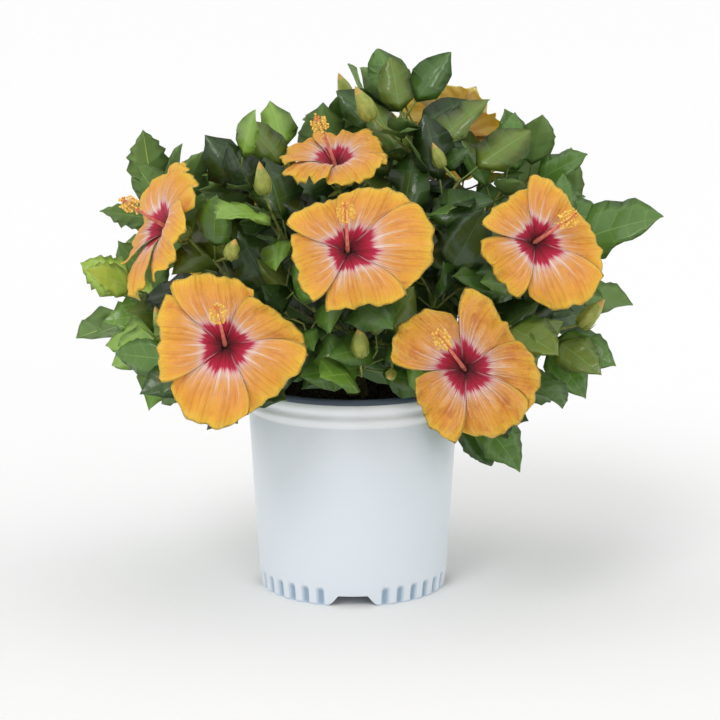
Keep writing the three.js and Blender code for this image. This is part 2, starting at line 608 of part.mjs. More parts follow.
function add(name, solid, finish) {
  parts.push([name, solid, finish]);
  place(solid, name);
}

add("pot", pot(), "pot_white");
add("potting_mix", pottingMix(), "potting_mix");
add("main_stem", stemSolid(0), "bark");
markLimb(stemLine, STEM_RADIUS, "main_stem");
let wood = stemSolid(GAP);
for (const p of mainBoughs) {
  const line = boughLine[p.mass.bough];
  add(`bough_${p.mass.bough}`, boughSolid(line, BOUGH_RADIUS, 0).subtract(wood), "bark");
  wood = wood.add(boughSolid(line, BOUGH_RADIUS, GAP));
  markLimb(line, BOUGH_RADIUS, "boughs");
}
for (const p of Object.values(plans).filter((q) => q.mass.from < 1)) {
  const line = boughTo(boughLine[p.mass.bough].getPoint(p.mass.from), p);
  add(`side_bough_${p.name}`, boughSolid(line, SIDE_BOUGH_RADIUS, 0).subtract(wood), "bark");
  markLimb(line, SIDE_BOUGH_RADIUS, "boughs");
}
for (const [name, bloom] of Object.entries(BLOOMS)) add(`bloom_${name}`, bloomSolid(bloom), "petals");

// Stems, shoots and buds of every mass come first, and then their leaves.
const growth = {};
for (const p of Object.values(plans)) {
  const stem = limb(straight(plus(p.root, p.along, GAP), plus(p.fork, p.along, 3)), [2.5, 2.3], 5);
  const pieces = [stem];
  p.lines.forEach((line) => {
    pieces.push(limb(line, [TWIG_RADIUS, 1.9, 1.6, TWIG_TIP_RADIUS], 3));
    markLimb(line, TWIG_RADIUS, p.name);
  });
  for (const [shoot, x, y, z, length] of p.mass.buds) {
    pieces.push(...budSolid(onTwig(p.lines[shoot], 0.97), vec([x, y, z]), length));
    limbPoints.push({ p: vec([x, y, z - length / 2]), radius: length / 3, owner: "buds" });
  }
  pieces.forEach((piece) => place(piece, p.name, true));
  growth[p.name] = pieces;
}
const placeFor = (name) => (leaf, probes) => {
  if (!probes) return false;
  const solid = leafSolid(leaf);
  if (touches(solid, name)) return false;
  probes.forEach((point) => leafPoints.push({ p: point, owner: name }));
  place(solid, name, false);
  growth[name].push(solid);
  return true;
};
for (const p of Object.values(plans)) {
  for (const [x, y, z, shoot] of p.mass.far) {
    const lines = shoot === undefined ? p.lines : [p.lines[shoot]];
    growFarLeaf(lines, vec([x, y, z]), p.name, placeFor(p.name));
  }
}
for (const p of Object.values(plans)) {
  p.lines.forEach((line, k) => growLeaves(line, p.mass.seed + 1.7 * k, p.name, placeFor(p.name)));
}
for (const [name, pieces] of Object.entries(growth)) parts.push([`foliage_${name}`, fuse(pieces), "leaves"]);

const plant = new THREE.Group();
for (const [name, solid, finish] of parts) {
  const mesh = new THREE.Mesh(toGeometry(solid), finishes[finish]);
  mesh.name = name;
  plant.add(mesh);
}

export default plant;
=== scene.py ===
import math

import bpy
import numpy as np
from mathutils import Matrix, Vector


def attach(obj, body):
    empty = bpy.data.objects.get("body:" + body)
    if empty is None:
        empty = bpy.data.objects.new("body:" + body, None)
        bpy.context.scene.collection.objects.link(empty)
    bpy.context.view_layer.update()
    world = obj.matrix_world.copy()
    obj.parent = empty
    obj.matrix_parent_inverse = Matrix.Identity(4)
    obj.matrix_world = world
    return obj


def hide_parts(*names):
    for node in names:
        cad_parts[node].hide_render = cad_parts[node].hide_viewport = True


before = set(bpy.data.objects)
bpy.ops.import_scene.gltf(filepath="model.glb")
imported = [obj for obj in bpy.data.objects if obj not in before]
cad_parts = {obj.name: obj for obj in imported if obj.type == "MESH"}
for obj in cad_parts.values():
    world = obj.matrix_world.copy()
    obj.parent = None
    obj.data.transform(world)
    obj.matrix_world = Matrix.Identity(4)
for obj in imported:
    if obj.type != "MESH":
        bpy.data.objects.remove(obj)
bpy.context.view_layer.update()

MM = 0.001
UP = np.array([0.0, 0.0, 1.0])

# The pot
POT_HEIGHT = 197
RIM_RADIUS = 101
FOOT_RADIUS = 87.5
FLOOR_UNDERSIDE = 11
FOOT_LIP = 4
NOTCH_HEIGHT = 10
NOTCH_TOP_ANGLE = 8.9
NOTCH_FOOT_ANGLE = 14.9
SOIL_TOP = 178

# Room that leaves keep from leaves of other masses and of their own, from limbs, before a bloom
# that faces sideways, over one that faces up, behind petals, round the stalk of a bloom, and
# beside and over the rim
LEAF_ROOM = 9
OWN_LEAF_ROOM = 6
LIMB_ROOM = 7
ROOM_BEFORE_BLOOM = 60
ROOM_OVER_BLOOM = 32
ROOM_BEHIND_PETALS = 12
ROOM_ROUND_STALK = 13
ROOM_BESIDE_RIM = 8
ROOM_OVER_RIM = 7

# Stems, boughs and shoots. The main boughs leave the stem one step after another, each mass's own
# stem starts at a share of the way from the heart of the crown to its middle and ends in a fork,
# and no leaf goes past REACH.
STEM_FOOT = (5, 6, SOIL_TOP - 5)
STEM_BEND = (4, 5, 200)
STEM_FORK = (0, 0, 226)
STEM_RADII = (13, 9.5, 8.5, 8, 7.3, 6.5)
BOUGH_RADIUS = 4.6
SIDE_BOUGH_RADIUS = 3.4
BOUGH_TIP_RADIUS = 2.6
FIRST_BOUGH_SHARE = 0.62
BOUGH_STEP = 0.07
HEART = np.array([0.0, 0.0, 238.0])
BOUGH_SHARE = 0.46
FORK_LENGTH = 10
SHOOT_SAG = 0.12
TWIG_RADIUS = 2.1
TWIG_TIP_RADIUS = 1.3
TWIG_PIECES = 3
REACH = np.array([278.0, 213.0, 503.0])

# Finer twigs between the main shoots: where they leave a shoot, how long they are, how far apart
# their leaves stand and how many there are, and the leaves' size and room as shares of the usual
SIDE_TWIG_SHARES = (0.5, 0.75)
SIDE_TWIG_LENGTH = 34
SIDE_LEAF_SPACING = 17
MOST_SIDE_LEAVES = 3
SIDE_LEAF_SCALE = 0.72
SIDE_LEAF_ROOM = 0.8

# Leaves. A blade's length, and its width, its stalk and a young one's size as shares
LEAF_LENGTH = 76
LEAF_WIDTH = 0.68
PETIOLE_SHARE = 0.24
LEAF_SPACING = 21
FEWEST_LEAVES = 4
MOST_LEAVES = 5
HIGHEST_LEAF = 0.97
LOWEST_LEAF = 0.12
LEAVES_TO_FULL_SIZE = 4
YOUNG_SHARE = 0.72
FAR_LEAF_LENGTH = 78
FAR_DROOP = 0.14
FAR_LEAF_SHARES = (0.3, 0.45, 0.6, 0.7, 0.8, 0.88, 0.96)
FAR_LEAF_TRIES = 5
LEAF_TURN = math.radians(137.5)
# A leaf's angle from its shoot in degrees, its pull upwards and its droop: when it is young, and
# what a full-grown one has more
OPENING = (24, 58)
UPWARD_PULL = (0.25, -0.75)
DROOP = (0.1, 0.16)

# Blooms
PETAL_WIDTH = 1.12
FUNNEL_DEPTH = 22
FUNNEL_FLARE = 3.6
PETAL_RECURVE = 9
PETAL_TILT = 0.11
CALYX_LENGTH = 18
STALK_LENGTH = 38
COLUMN_LENGTH = 52

# The camera, matched to the pot's two rims and its foot, and the light
IMAGE_PIXELS = 720
FOCAL_LENGTH_PIXELS = 2343
SENSOR_WIDTH = 36
CAMERA_AT = (6.5, -2156, 635)
CAMERA_TILT = -11.05
# Each lamp's strength, its width in degrees and the way its light goes
LAMPS = {"key": (0.85, 24, (0.75, 1.7, -1.6)), "fill": (0.42, 40, (-0.8, 1.8, -0.2))}
AIR_STRENGTH_LOW = 0.18
AIR_STRENGTH_HIGH = 0.92
AIR_STRENGTH_SIDES = 0.75

# Each bloom: the middle of its throat, the way it faces as azimuth and elevation, the turn of its
# first petal, a petal's length, how ruffled it is, and how far its column leans sideways and
# upwards. The foremost ones also give each petal's angle, and its length at its clockwise corner,
# in its middle and at its other corner; the others vary theirs by their turn.
BLOOMS = {
    "front_left": dict(at=(-110, -165, 259), faces=(-88, 14), turn=28, length=66, ruffle=6, lean=(-6, 29),
        petals=[(97, 55, 58, 72), (28, 76, 52, 48), (-38, 64, 59, 75), (-107, 61, 69, 66),
                (175, 71, 54, 66)]),
    "front_centre": dict(at=(-4, -165, 341), faces=(-86, 17), turn=3, length=60, ruffle=4, lean=(-4, 33),
        petals=[(66, 74, 56, 47), (-2, 60, 70, 73), (-76, 58, 47, 67), (200, 52, 45, 58),
                (122, 45, 45, 60)]),
    "front_right": dict(at=(97, -176, 240), faces=(-93, 15), turn=21, length=63, ruffle=8, lean=(-23, 27),
        petals=[(54, 52, 51, 74), (140, 51, 63, 65), (228, 45, 50, 67), (-62, 53, 61, 64),
                (-8, 63, 62, 53)]),
    "right": dict(at=(159, -125, 343), faces=(-83, 14), turn=3, length=58, ruffle=4, lean=(28, 19),
        petals=[(128, 50, 42, 54), (60, 43, 47, 60), (3, 67, 50, 44), (-65, 50, 62, 67),
                (-146, 52, 44, 55)]),
    "left": dict(at=(-163, -62, 345), faces=(200, 25), turn=60, length=66, ruffle=4, lean=(0, 8)),
    "upper_centre": dict(at=(-14, -74, 401), faces=(-112, 66), turn=30, length=48, ruffle=4, lean=(-10, 0)),
    "top": dict(at=(94, 46, 416), faces=(56, 28), turn=12, length=56, ruffle=5, lean=(4, 12)),
    "back_left": dict(at=(-120, 160, 318), faces=(124, 24), turn=10, length=64, ruffle=6, lean=(-8, 20)),
    "back_right": dict(at=(124, 162, 282), faces=(56, 20), turn=50, length=63, ruffle=5, lean=(6, 24)),
    "back_top": dict(at=(4, 158, 378), faces=(94, 30), turn=25, length=60, ruffle=6, lean=(10, 18)),
}

# Each mass of foliage: its main bough, how far along that its own bough leaves, or 1 where the main
# one ends in it, its seed, the side of the plant its leaves are joined with, its leaves' main green,
# its shoots, the tips of the leaves that reach furthest, and its buds: the shoot, the tip and the
# length.
MASSES = {
    "upper_centre": dict(bough="front", start=1, seed=3, side="front", green=0,
        shoots=[(97, -62, 392), (50, -92, 356)], far=[(127, -90, 376)], buds=[(0, 71, -70, 425, 24)]),
    "front_left": dict(bough="left", start=0.42, seed=7, side="front", green=0,
        shoots=[(-125, -84, 322), (-62, -112, 290), (-150, -100, 232)],
        far=[(-191, -110, 204), (-102, -116, 178)], buds=[(0, -101, -152, 350, 27)]),
    "front_centre": dict(bough="front", start=0.35, seed=12, side="front", green=1,
        shoots=[(8, -116, 222), (-36, -116, 284), (38, -112, 250)],
        far=[(-2, -142, 212), (-46, -118, 210), (46, -104, 211)],
        buds=[(0, 6, -150, 274, 32), (2, 32, -148, 227, 20)]),
    "front_right": dict(bough="right", start=0.4, seed=5, side="front", green=0,
        shoots=[(129, -110, 272), (142, -98, 230), (76, -112, 300)],
        far=[(124, -128, 142), (158, -112, 180)], buds=[]),
    "right": dict(bough="right", start=1, seed=9, side="right", green=1,
        shoots=[(186, -34, 326), (176, -72, 254), (182, 24, 276)],
        far=[(276, -95, 363), (237, -95, 227), (211, -88, 195)], buds=[(1, 226, -84, 286, 34)]),
    "upper_right": dict(bough="right", start=0.66, seed=14, side="right", green=1,
        shoots=[(140, -40, 388), (166, 22, 382), (182, 40, 326)],
        far=[(217, 0, 408), (218, 20, 366), (178, 30, 429), (140, 10, 449)], buds=[]),
    "top": dict(bough="back", start=0.6, seed=21, side="right", green=1,
        shoots=[(48, -10, 446), (58, 10, 436), (62, -36, 408)],
        far=[(90, -5, 502, 0), (34, 6, 497, 0), (6, 22, 486), (-16, 4, 466), (112, 0, 456)],
        buds=[(2, 2, -54, 474, 34)]),
    "top_left": dict(bough="left", start=0.7, seed=18, side="left", green=1,
        shoots=[(-60, -12, 402), (-24, 44, 380), (-74, 60, 378)],
        far=[(-100, -10, 441), (-40, 40, 441)], buds=[]),
    "upper_left": dict(bough="left", start=0.55, seed=26, side="left", green=1,
        shoots=[(-72, -96, 366), (-104, -48, 398)],
        far=[(-114, -50, 425), (-89, -110, 374), (-135, -30, 429)], buds=[(0, -82, -104, 412, 30)]),
    "left": dict(bough="left", start=1, seed=31, side="left", green=2,
        shoots=[(-122, -30, 350), (-190, 44, 356), (-176, 72, 308)],
        far=[(-206, 30, 399), (-239, 30, 351), (-139, 20, 409)], buds=[]),
    "left_low": dict(bough="back_left", start=0.5, seed=33, side="left", green=2,
        shoots=[(-194, -14, 280), (-166, -72, 258), (-188, 46, 250)],
        far=[(-256, 10, 305), (-233, -20, 254), (-271, 88, 219), (-223, -40, 216), (-173, -60, 192)],
        buds=[(1, -176, -100, 282, 24)]),
    "back_left": dict(bough="back_left", start=1, seed=40, side="back", green=1,
        shoots=[(-158, 118, 320), (-96, 166, 256), (-150, 140, 240)],
        far=[(-232, 128, 296), (-140, 212, 196), (-206, 150, 172)], buds=[(0, -196, 104, 372, 28)]),
    "back_low": dict(bough="back", start=0.4, seed=44, side="back", green=0,
        shoots=[(4, 176, 268), (54, 176, 226), (-46, 178, 230)],
        far=[(0, 212, 190), (96, 210, 170)], buds=[(0, 6, 196, 300, 30)]),
    "back_top": dict(bough="back", start=1, seed=51, side="back", green=1,
        shoots=[(14, 96, 432), (56, 118, 374), (-62, 116, 372)],
        far=[(-50, 130, 428), (70, 150, 420)], buds=[(0, -14, 84, 476, 28)]),
    "back_right": dict(bough="back", start=0.25, seed=57, side="back", green=2,
        shoots=[(156, 116, 322), (192, 84, 270), (116, 168, 236)],
        far=[(250, 110, 330), (232, 130, 214), (190, 190, 180)], buds=[(0, 186, 96, 376, 30)]),
}

# Where the sky shows through or beside the crown: from, to, and how wide to each side
OPEN_SKY = [
    ((-30, 120, 492), (-30, 150, 480), 20), ((-92, -40, 468), (-92, 10, 468), 18),
    ((-236, -30, 398), (-236, 20, 398), 24), ((260, 10, 300), (232, -30, 304), 24),
    ((238, -20, 240), (240, 58, 228), 16), ((128, -46, 440), (135, 0, 447), 10),
    ((190, -150, 185), (200, -110, 176), 18), ((-188, -8, 162), (-155, -20, 150), 20),
    ((-168, -70, 319), (-187, 170, 283), 13),
]


# Small helpers

def unit(v):
    return v / max(float(np.linalg.norm(v)), 1e-12)


def square_to(v, n):
    """The part of v that is square to the unit vector n, made a unit vector."""
    return unit(v - n * float(np.dot(v, n)))


def rotate(v, axis, angle):
    return (v * math.cos(angle) + np.cross(axis, v) * math.sin(angle)
            + axis * float(np.dot(axis, v)) * (1 - math.cos(angle)))


def chance(seed, draw):
    """A repeatable number from 0 to 1."""
    x = math.sin(seed * 12.9898 + draw * 78.233) * 43758.5453
    return x - math.floor(x)


def swing(seed, draw, reach):
    """A repeatable number from -reach to reach."""
    return (2 * chance(seed, draw) - 1) * reach


def heading(azimuth, elevation):
    """The unit vector of a way given in degrees."""
    a, e = math.radians(azimuth), math.radians(elevation)
    return np.array([math.cos(a) * math.cos(e), math.sin(a) * math.cos(e), math.sin(e)])


class Line:
    """A bending line from a to c, drawn towards b, or a straight one without b."""

    def __init__(self, a, c, b=None):
        self.a, self.c = np.asarray(a, float), np.asarray(c, float)
        self.b = (self.a + self.c) / 2 if b is None else np.asarray(b, float)

    def point(self, t):
        return (1 - t) ** 2 * self.a + 2 * t * (1 - t) * self.b + t * t * self.c

    def tangent(self, t):
        step = 1e-4
        return unit(self.point(min(1, t + step)) - self.point(max(0, t - step)))

    def length(self):
        points = np.array([self.point(k / 200) for k in range(201)])
        return float(np.linalg.norm(np.diff(points, axis=0), axis=1).sum())

    def on_twig(self, share):
        """A point on the straight pieces that the CAD shoot is made of."""
        k = min(TWIG_PIECES - 1, int(share * TWIG_PIECES))
        low, high = self.point(k / TWIG_PIECES), self.point((k + 1) / TWIG_PIECES)
        return low + (high - low) * (share * TWIG_PIECES - k)


# Materials

def linear(colour):
    """An sRGB hex colour as linear red, green, blue and alpha."""
    parts = [int(colour[k:k + 2], 16) / 255 for k in (1, 3, 5)]
    return [p / 12.92 if p <= 0.04045 else ((p + 0.055) / 1.055) ** 2.4 for p in parts] + [1.0]


def add_node(tree, kind, inputs=None, **settings):
    """Adds a node: inputs maps a socket's name or number to a value or to another node's output."""
    made = tree.nodes.new(kind)
    for name, value in settings.items():
        setattr(made, name, value)
    for name, value in (inputs or {}).items():
        if isinstance(value, bpy.types.NodeSocket):
            tree.links.new(value, made.inputs[name])
        else:
            made.inputs[name].default_value = value
    return made


def make_material(name, colour, roughness, **sockets):
    """A material with one colour, and the Principled shader's other sockets by name."""
    material = bpy.data.materials.new(name)
    material.use_nodes = True
    shader = material.node_tree.nodes["Principled BSDF"]
    shader.inputs["Base Color"].default_value = linear(colour)
    shader.inputs["Roughness"].default_value = roughness
    for socket, value in sockets.items():
        shader.inputs[socket.replace("_", " ")].default_value = value
    return material


def set_stops(ramp, stops):
    """Gives a colour ramp its stops: (place, sRGB hex)."""
    elements = ramp.color_ramp.elements
    while len(elements) > 2:
        elements.remove(elements[-1])
    for k, (place, colour) in enumerate(stops):
        element = elements[k] if k < 2 else elements.new(place)
        element.position = place
        element.color = linear(colour)


def patterned(name, colour, roughness, pattern, relief, stops=None, **sockets):
    """A material with a pattern of noise all over it. The pattern is the size of its cells in
    millimetres, its detail and its roughness, the relief is how strong and how many metres deep it
    is, and the stops are the colours it runs through."""
    material = make_material(name, colour, roughness, **sockets)
    tree = material.node_tree
    shader = tree.nodes["Principled BSDF"]
    size, detail, fineness = pattern
    place = add_node(tree, "ShaderNodeTexCoord")
    noise = add_node(tree, "ShaderNodeTexNoise", {
        "Vector": place.outputs["Object"], "Scale": 1 / (size * MM), "Detail": detail,
        "Roughness": fineness}).outputs["Fac"]
    if stops:
        ramp = add_node(tree, "ShaderNodeValToRGB", {"Fac": noise})
        set_stops(ramp, stops)
        tree.links.new(ramp.outputs["Color"], shader.inputs["Base Color"])
    if relief:
        strength, depth = relief
        bump = add_node(tree, "ShaderNodeBump", {
            "Height": noise, "Strength": strength, "Distance": depth})
        tree.links.new(bump.outputs["Normal"], shader.inputs["Normal"])
        tree.links.new(bump.outputs["Normal"], shader.inputs["Coat Normal"])
    return material


def waxy_leaf(name, colour):
    """A thick glossy leaf: its waxy skin mirrors the light over a deep green, and the small
    blisters between its finest veins break each mirror streak up. They are finer in truth, and
    are drawn as coarse as they need to be to show."""
    return patterned(name, colour, 0.36, (4.35, 2.0, 0.5), (0.35, 0.0012),
                     Specular_IOR_Level=0.45, Coat_Weight=0.35, Coat_Roughness=0.14)


# Five greens, from the shaded heart of the crown to the young tips, each in two shades
GREENS = [
    [waxy_leaf("leaf_waxy_shaded", "#263c18"), waxy_leaf("leaf_waxy_dusky", "#2f4a1c")],
    [waxy_leaf("leaf_waxy_deep", "#38571e"), waxy_leaf("leaf_waxy_dark", "#456824")],
    [waxy_leaf("leaf_waxy_mid", "#557c2c"), waxy_leaf("leaf_waxy_olive", "#697d2d")],
    [waxy_leaf("leaf_waxy_fresh", "#719a38"), waxy_leaf("leaf_waxy_light", "#83a83e")],
    [waxy_leaf("leaf_waxy_young", "#9aba44"), waxy_leaf("leaf_waxy_tender", "#acc850")],
]
# For each green, the side veins are a little paler, and the rib is paler still and less glossy.
LEAF_VEINS = [waxy_leaf(name, colour) for name, colour in (
    ("leaf_vein_shaded", "#304a1e"), ("leaf_vein_deep", "#42632a"), ("leaf_vein_mid", "#628635"),
    ("leaf_vein_fresh", "#80a83f"), ("leaf_vein_young", "#a9c552"))]
LEAF_RIBS = [make_material(name, colour, 0.45) for name, colour in (
    ("leaf_rib_shaded", "#47652c"), ("leaf_rib_deep", "#587936"), ("leaf_rib_mid", "#76974a"),
    ("leaf_rib_fresh", "#94b655"), ("leaf_rib_young", "#b9cf6e"))]
# The underside has no wax: it is matt, and paler.
LEAF_UNDERSIDE = make_material("leaf_matt_underside", "#708f4a", 0.6)
# A leaf's stalk is about two millimetres thick, and looks smooth and plain.
LEAF_STALK = make_material("leaf_stalk_green", "#6d8038", 0.5)
# Young hibiscus bark is a grey-green skin with small brown cracks. They are finer in truth, and
# are drawn as coarse as they need to be to show.
BARK = patterned("bark_young_cracked", "#6a6443", 0.75, (3.85, 5.0, 0.6), (0.5, 0.0006),
                 [(0.36, "#453c26"), (0.5, "#6b6540"), (0.68, "#8a8762")])
# The mix is damp bark and peat: near-black brown crumbs, with paler flecks.
SOIL = patterned("potting_mix_damp", "#2a2019", 0.92, (5.56, 6.0, 0.7), None,
                 [(0.35, "#17110d"), (0.55, "#35281e"), (0.75, "#5f4a36")])


def plant_skin(name, dark, pale, mottle_size, roughness):
    """A soft plant skin: two tones mottled over it like sap and sun, with a faint grain."""
    return patterned(name, pale, roughness, (mottle_size, 4.0, 0.6), (0.35, 0.0004),
                     [(0.36, dark), (0.66, pale)])


# A new twig is green and has no bark yet.
TWIG = plant_skin("twig_soft_green", "#5e6a2e", "#8a9048", 5, 0.5)

# A flat petal's width and length in millimetres, and the patterns on its face: the width and
# length of their cells, and their detail. The veins on its back are a little coarser.
FLAT_PETAL = (66, 60)
BACK_VEINS = (1.94, 50, 3.0)
PETAL_PATTERNS = {"veins": (1.74, 75, 2.5), "broad": (7.33, 66.7, 1.0), "clouds": (13.2, 25, 3.0),
                  "crepe": (3, 6, 4.0)}
# What the colours of a petal's face follow from, a line for each: its name, an operation, and what
# it works on. STEP rises softly from 0 at its first number to 1 at its second.
PETAL_FIELDS = [
    # The eye's edge frays with the veins.
    ("streaks", "ADD", "veins", "broad"),
    ("fray", "MULTIPLY_ADD", "streaks", 0.2, -0.2),
    ("eye", "ADD", "along", "fray"),
    ("past_eye", "STEP", "eye", 0.26, 0.33),
    # A rosy flush and brown mottle on the outer part, and fine darker lines
    ("outer", "STEP", "along", 0.4, 0.6),
    ("broad_streak", "STEP", "broad", 0.48, 0.72),
    ("flush", "MULTIPLY", "outer", "broad_streak"),
    ("rosy", "MULTIPLY", "flush", 0.36),
    ("cloud", "STEP", "clouds", 0.48, 0.72),
    ("outer_cloud", "MULTIPLY", "outer", "cloud"),
    ("warm", "MULTIPLY", "outer_cloud", "mottle"),
    ("dark_vein", "STEP", "veins", 0.5, 0.34),
    ("outer_vein", "MULTIPLY", "outer", "dark_vein"),
    ("lines", "MULTIPLY_ADD", "outer_vein", 0.4, "warm"),
    # Pale rays and a pale glow round the eye
    ("halo", "STEP", "along", 0.42, 0.3),
    ("glow", "MULTIPLY", "halo", 0.42),
    ("ray_width", "STEP", "veins", 0.51, 0.64),
    ("ray_length", "STEP", "along", 0.74, 0.34),
    ("rays", "MULTIPLY", "ray_width", "ray_length"),
    ("pale", "MULTIPLY_ADD", "rays", 0.8, "glow"),
    ("whitened", "MULTIPLY", "pale", "past_eye"),
    # A yellow tip and flanks
    ("off_middle", "SUBTRACT", "across", 0.5),
    ("off", "ABSOLUTE", "off_middle"),
    ("edge", "STEP", "off", 0.42, 0.5),
    ("flank", "STEP", "along", 0.4, 0.7),
    ("outer_edge", "MULTIPLY", "edge", "flank"),
    ("tip", "STEP", "along", 0.86, 1.0),
    ("rim", "MAXIMUM", "tip", "outer_edge"),
    ("yellow", "MULTIPLY", "rim", 0.75),
    # A pink seam between two petals in the eye
    ("throat", "STEP", "along", 0.05, 0.14),
    ("eye_end", "STEP", "along", 0.36, 0.26),
    ("seam", "MULTIPLY", "throat", "eye_end"),
    ("blush", "MULTIPLY", "seam", "edge"),
]
# What is laid over the petal's main colours, in turn
PETAL_OVERLAYS = {"rosy": "#efa172", "lines": "#cf7d34", "whitened": "#f4dad0", "yellow": "#eebd40",
                  "blush": "#e8a9ae"}


def petal_pattern(tree, place, width, length, detail, seed=0.0):
    """Noise on a petal's own UV map, with cells of that width and length in millimetres."""
    stretched = add_node(tree, "ShaderNodeMapping", {
        "Vector": place.outputs["UV"], "Location": (seed, seed * 0.37, 0.0),
        "Scale": (FLAT_PETAL[0] / width, FLAT_PETAL[1] / length, 1.0)})
    return add_node(tree, "ShaderNodeTexNoise", {
        "Vector": stretched.outputs["Vector"], "Scale": 1.0, "Detail": detail,
        "Roughness": 0.55}).outputs["Fac"]


def silky_petal(name, seed, mottle, crepe):
    """The face of a hibiscus petal: a maroon throat, a crimson eye that frays into pink and white
    along the veins, silky apricot orange, and a yellow edge. An older petal has more brown mottle
    and deeper crepe wrinkles."""
    material = make_material(
        name, "#eda751", 0.62, Specular_IOR_Level=0.35, Sheen_Weight=0.08,
        Subsurface_Weight=0.3, Subsurface_Radius=(1.0, 0.5, 0.2), Subsurface_Scale=0.0016)
    tree = material.node_tree
    shader = tree.nodes["Principled BSDF"]
    place = add_node(tree, "ShaderNodeUVMap", uv_map="petal")
    split = add_node(tree, "ShaderNodeSeparateXYZ", {"Vector": place.outputs["UV"]})
    fields = {"across": split.outputs["X"], "along": split.outputs["Y"], "mottle": mottle}
    for kind, pattern in PETAL_PATTERNS.items():
        fields[kind] = petal_pattern(tree, place, *pattern, seed)
    for kind, operation, *given in PETAL_FIELDS:
        values = [fields.get(one, one) for one in given]
        if operation == "STEP":
            inputs = dict(zip(("Value", "From Min", "From Max"), values))
            made = add_node(tree, "ShaderNodeMapRange", inputs, interpolation_type="SMOOTHSTEP")
        else:
            made = add_node(tree, "ShaderNodeMath", dict(enumerate(values)), operation=operation)
        fields[kind] = made.outputs[0]
    main = add_node(tree, "ShaderNodeValToRGB", {"Fac": fields["eye"]})
    set_stops(main, [(0.0, "#4d0a14"), (0.08, "#860f24"), (0.18, "#b41436"), (0.26, "#c6204a"),
                     (0.3, "#d96c7c"), (0.35, "#e6a67f"), (0.5, "#e9a24d"), (0.84, "#ecaa3b"),
                     (1.0, "#f2c03a")])
    colour = main.outputs["Color"]
    for kind, over in PETAL_OVERLAYS.items():
        colour = add_node(tree, "ShaderNodeMix", {0: fields[kind], 6: colour, 7: linear(over)},
                          data_type="RGBA", clamp_factor=True).outputs[2]
    tree.links.new(colour, shader.inputs["Base Color"])
    relief = add_node(tree, "ShaderNodeMath", {0: fields["crepe"], 1: crepe, 2: fields["veins"]},
                      operation="MULTIPLY_ADD")
    bump = add_node(tree, "ShaderNodeBump", {
        "Height": relief.outputs[0], "Strength": 0.85, "Distance": 0.0008 + 0.0011 * crepe})
    tree.links.new(bump.outputs["Normal"], shader.inputs["Normal"])
    return material


def petal_reverse():
    """The back of a petal: matt, with fine veins along it, and paler with a pink glow of the eye,
    partly its own colour and partly painted light that shines through the petal.
    """
    material = make_material(
        "petal_matt_back", "#efb873", 0.7, Specular_IOR_Level=0.3,
        Subsurface_Weight=0.7, Subsurface_Radius=(1.0, 0.6, 0.3), Subsurface_Scale=0.004)
    tree = material.node_tree
    shader = tree.nodes["Principled BSDF"]
    place = add_node(tree, "ShaderNodeUVMap", uv_map="petal")
    split = add_node(tree, "ShaderNodeSeparateXYZ", {"Vector": place.outputs["UV"]})
    base = add_node(tree, "ShaderNodeValToRGB", {"Fac": split.outputs["Y"]})
    # Partly painted light: the paler tones stand in for light that shines through the petal
    set_stops(base, [(0.0, "#d9b48a"), (0.2, "#edba98"), (0.42, "#f8cb98"), (0.85, "#f8cc86"),
                     (1.0, "#f7d474")])
    veins = petal_pattern(tree, place, *BACK_VEINS)
    fine = add_node(tree, "ShaderNodeMapRange", {
        "Value": veins, "From Min": 0.52, "From Max": 0.3, "To Max": 0.5},
        interpolation_type="SMOOTHSTEP")
    veined = add_node(tree, "ShaderNodeMix", {
        0: fine.outputs["Result"], 6: base.outputs["Color"], 7: linear("#e3a466")},
        data_type="RGBA")
    tree.links.new(veined.outputs[2], shader.inputs["Base Color"])
    bump = add_node(tree, "ShaderNodeBump", {"Height": veins, "Strength": 0.7, "Distance": 0.001})
    tree.links.new(bump.outputs["Normal"], shader.inputs["Normal"])
    return material


PETAL_FACE = silky_petal("petal_silky_orange", 3.1, 0.4, 1.3)
CREPED_PETAL_FACE = silky_petal("petal_creped_orange", 7.7, 0.95, 2.2)
PETAL_BACK = petal_reverse()
# The column is waxy, its stigma pads are velvet and its pollen is dusty. The calyx and the buds
# are soft and a little yellow, and a bud's tip shows the folded petals.
COLUMN_CORAL = plant_skin("column_waxy_coral", "#cf6152", "#e8957c", 4.17, 0.5)
STIGMA_VELVET = plant_skin("stigma_velvet_orange", "#d9742a", "#f0a04a", 1.11, 0.8)
POLLEN_YELLOW = plant_skin("anther_pollen_yellow", "#ecb544", "#fbdd7c", 2, 0.85)
CALYX_GREEN = plant_skin("calyx_soft_green", "#7c8a3c", "#a3ac58", 4.55, 0.55)
BUD_GREEN = plant_skin("bud_soft_yellow_green", "#8a953f", "#a9ac52", 6.25, 0.5)
BUD_TIP = plant_skin("bud_folded_petal", "#b5954a", "#cfae60", 6.25, 0.6)


def moulded_plastic(name, colour, roughness):
    """Injection-moulded polypropylene: a satin skin with a faint orange-peel ripple, which is drawn
    coarser than it is, so that it shows."""
    return patterned(name, colour, roughness, (2.38, 2.0, 0.5), (0.12, 0.0003), IOR=1.49)


POT_WHITE = moulded_plastic("pot_moulded_white", "#dde4eb", 0.28)
# Painted light: the rolled band is drawn a clearer white than the wall, against the crown's shade.
POT_BAND_PAINTED_LIGHT = moulded_plastic("pot_band_painted_light", "#eff3f7", 0.26)
# Painted shade: the deeper grooves and the foot's bottom edge are drawn bluer, as the shade in them.
POT_PAINTED_SHADE = [moulded_plastic(name, colour, 0.3) for name, colour in (
    ("pot_painted_shade_pale", "#cbd7e2"), ("pot_painted_shade_mid", "#b4c4d2"),
    ("pot_painted_shade_deep", "#9cb0c1"))]
# The lip and the inside are slate, and duller than the wall.
POT_LIP = moulded_plastic("pot_moulded_slate", "#384657", 0.38)


# Making meshes

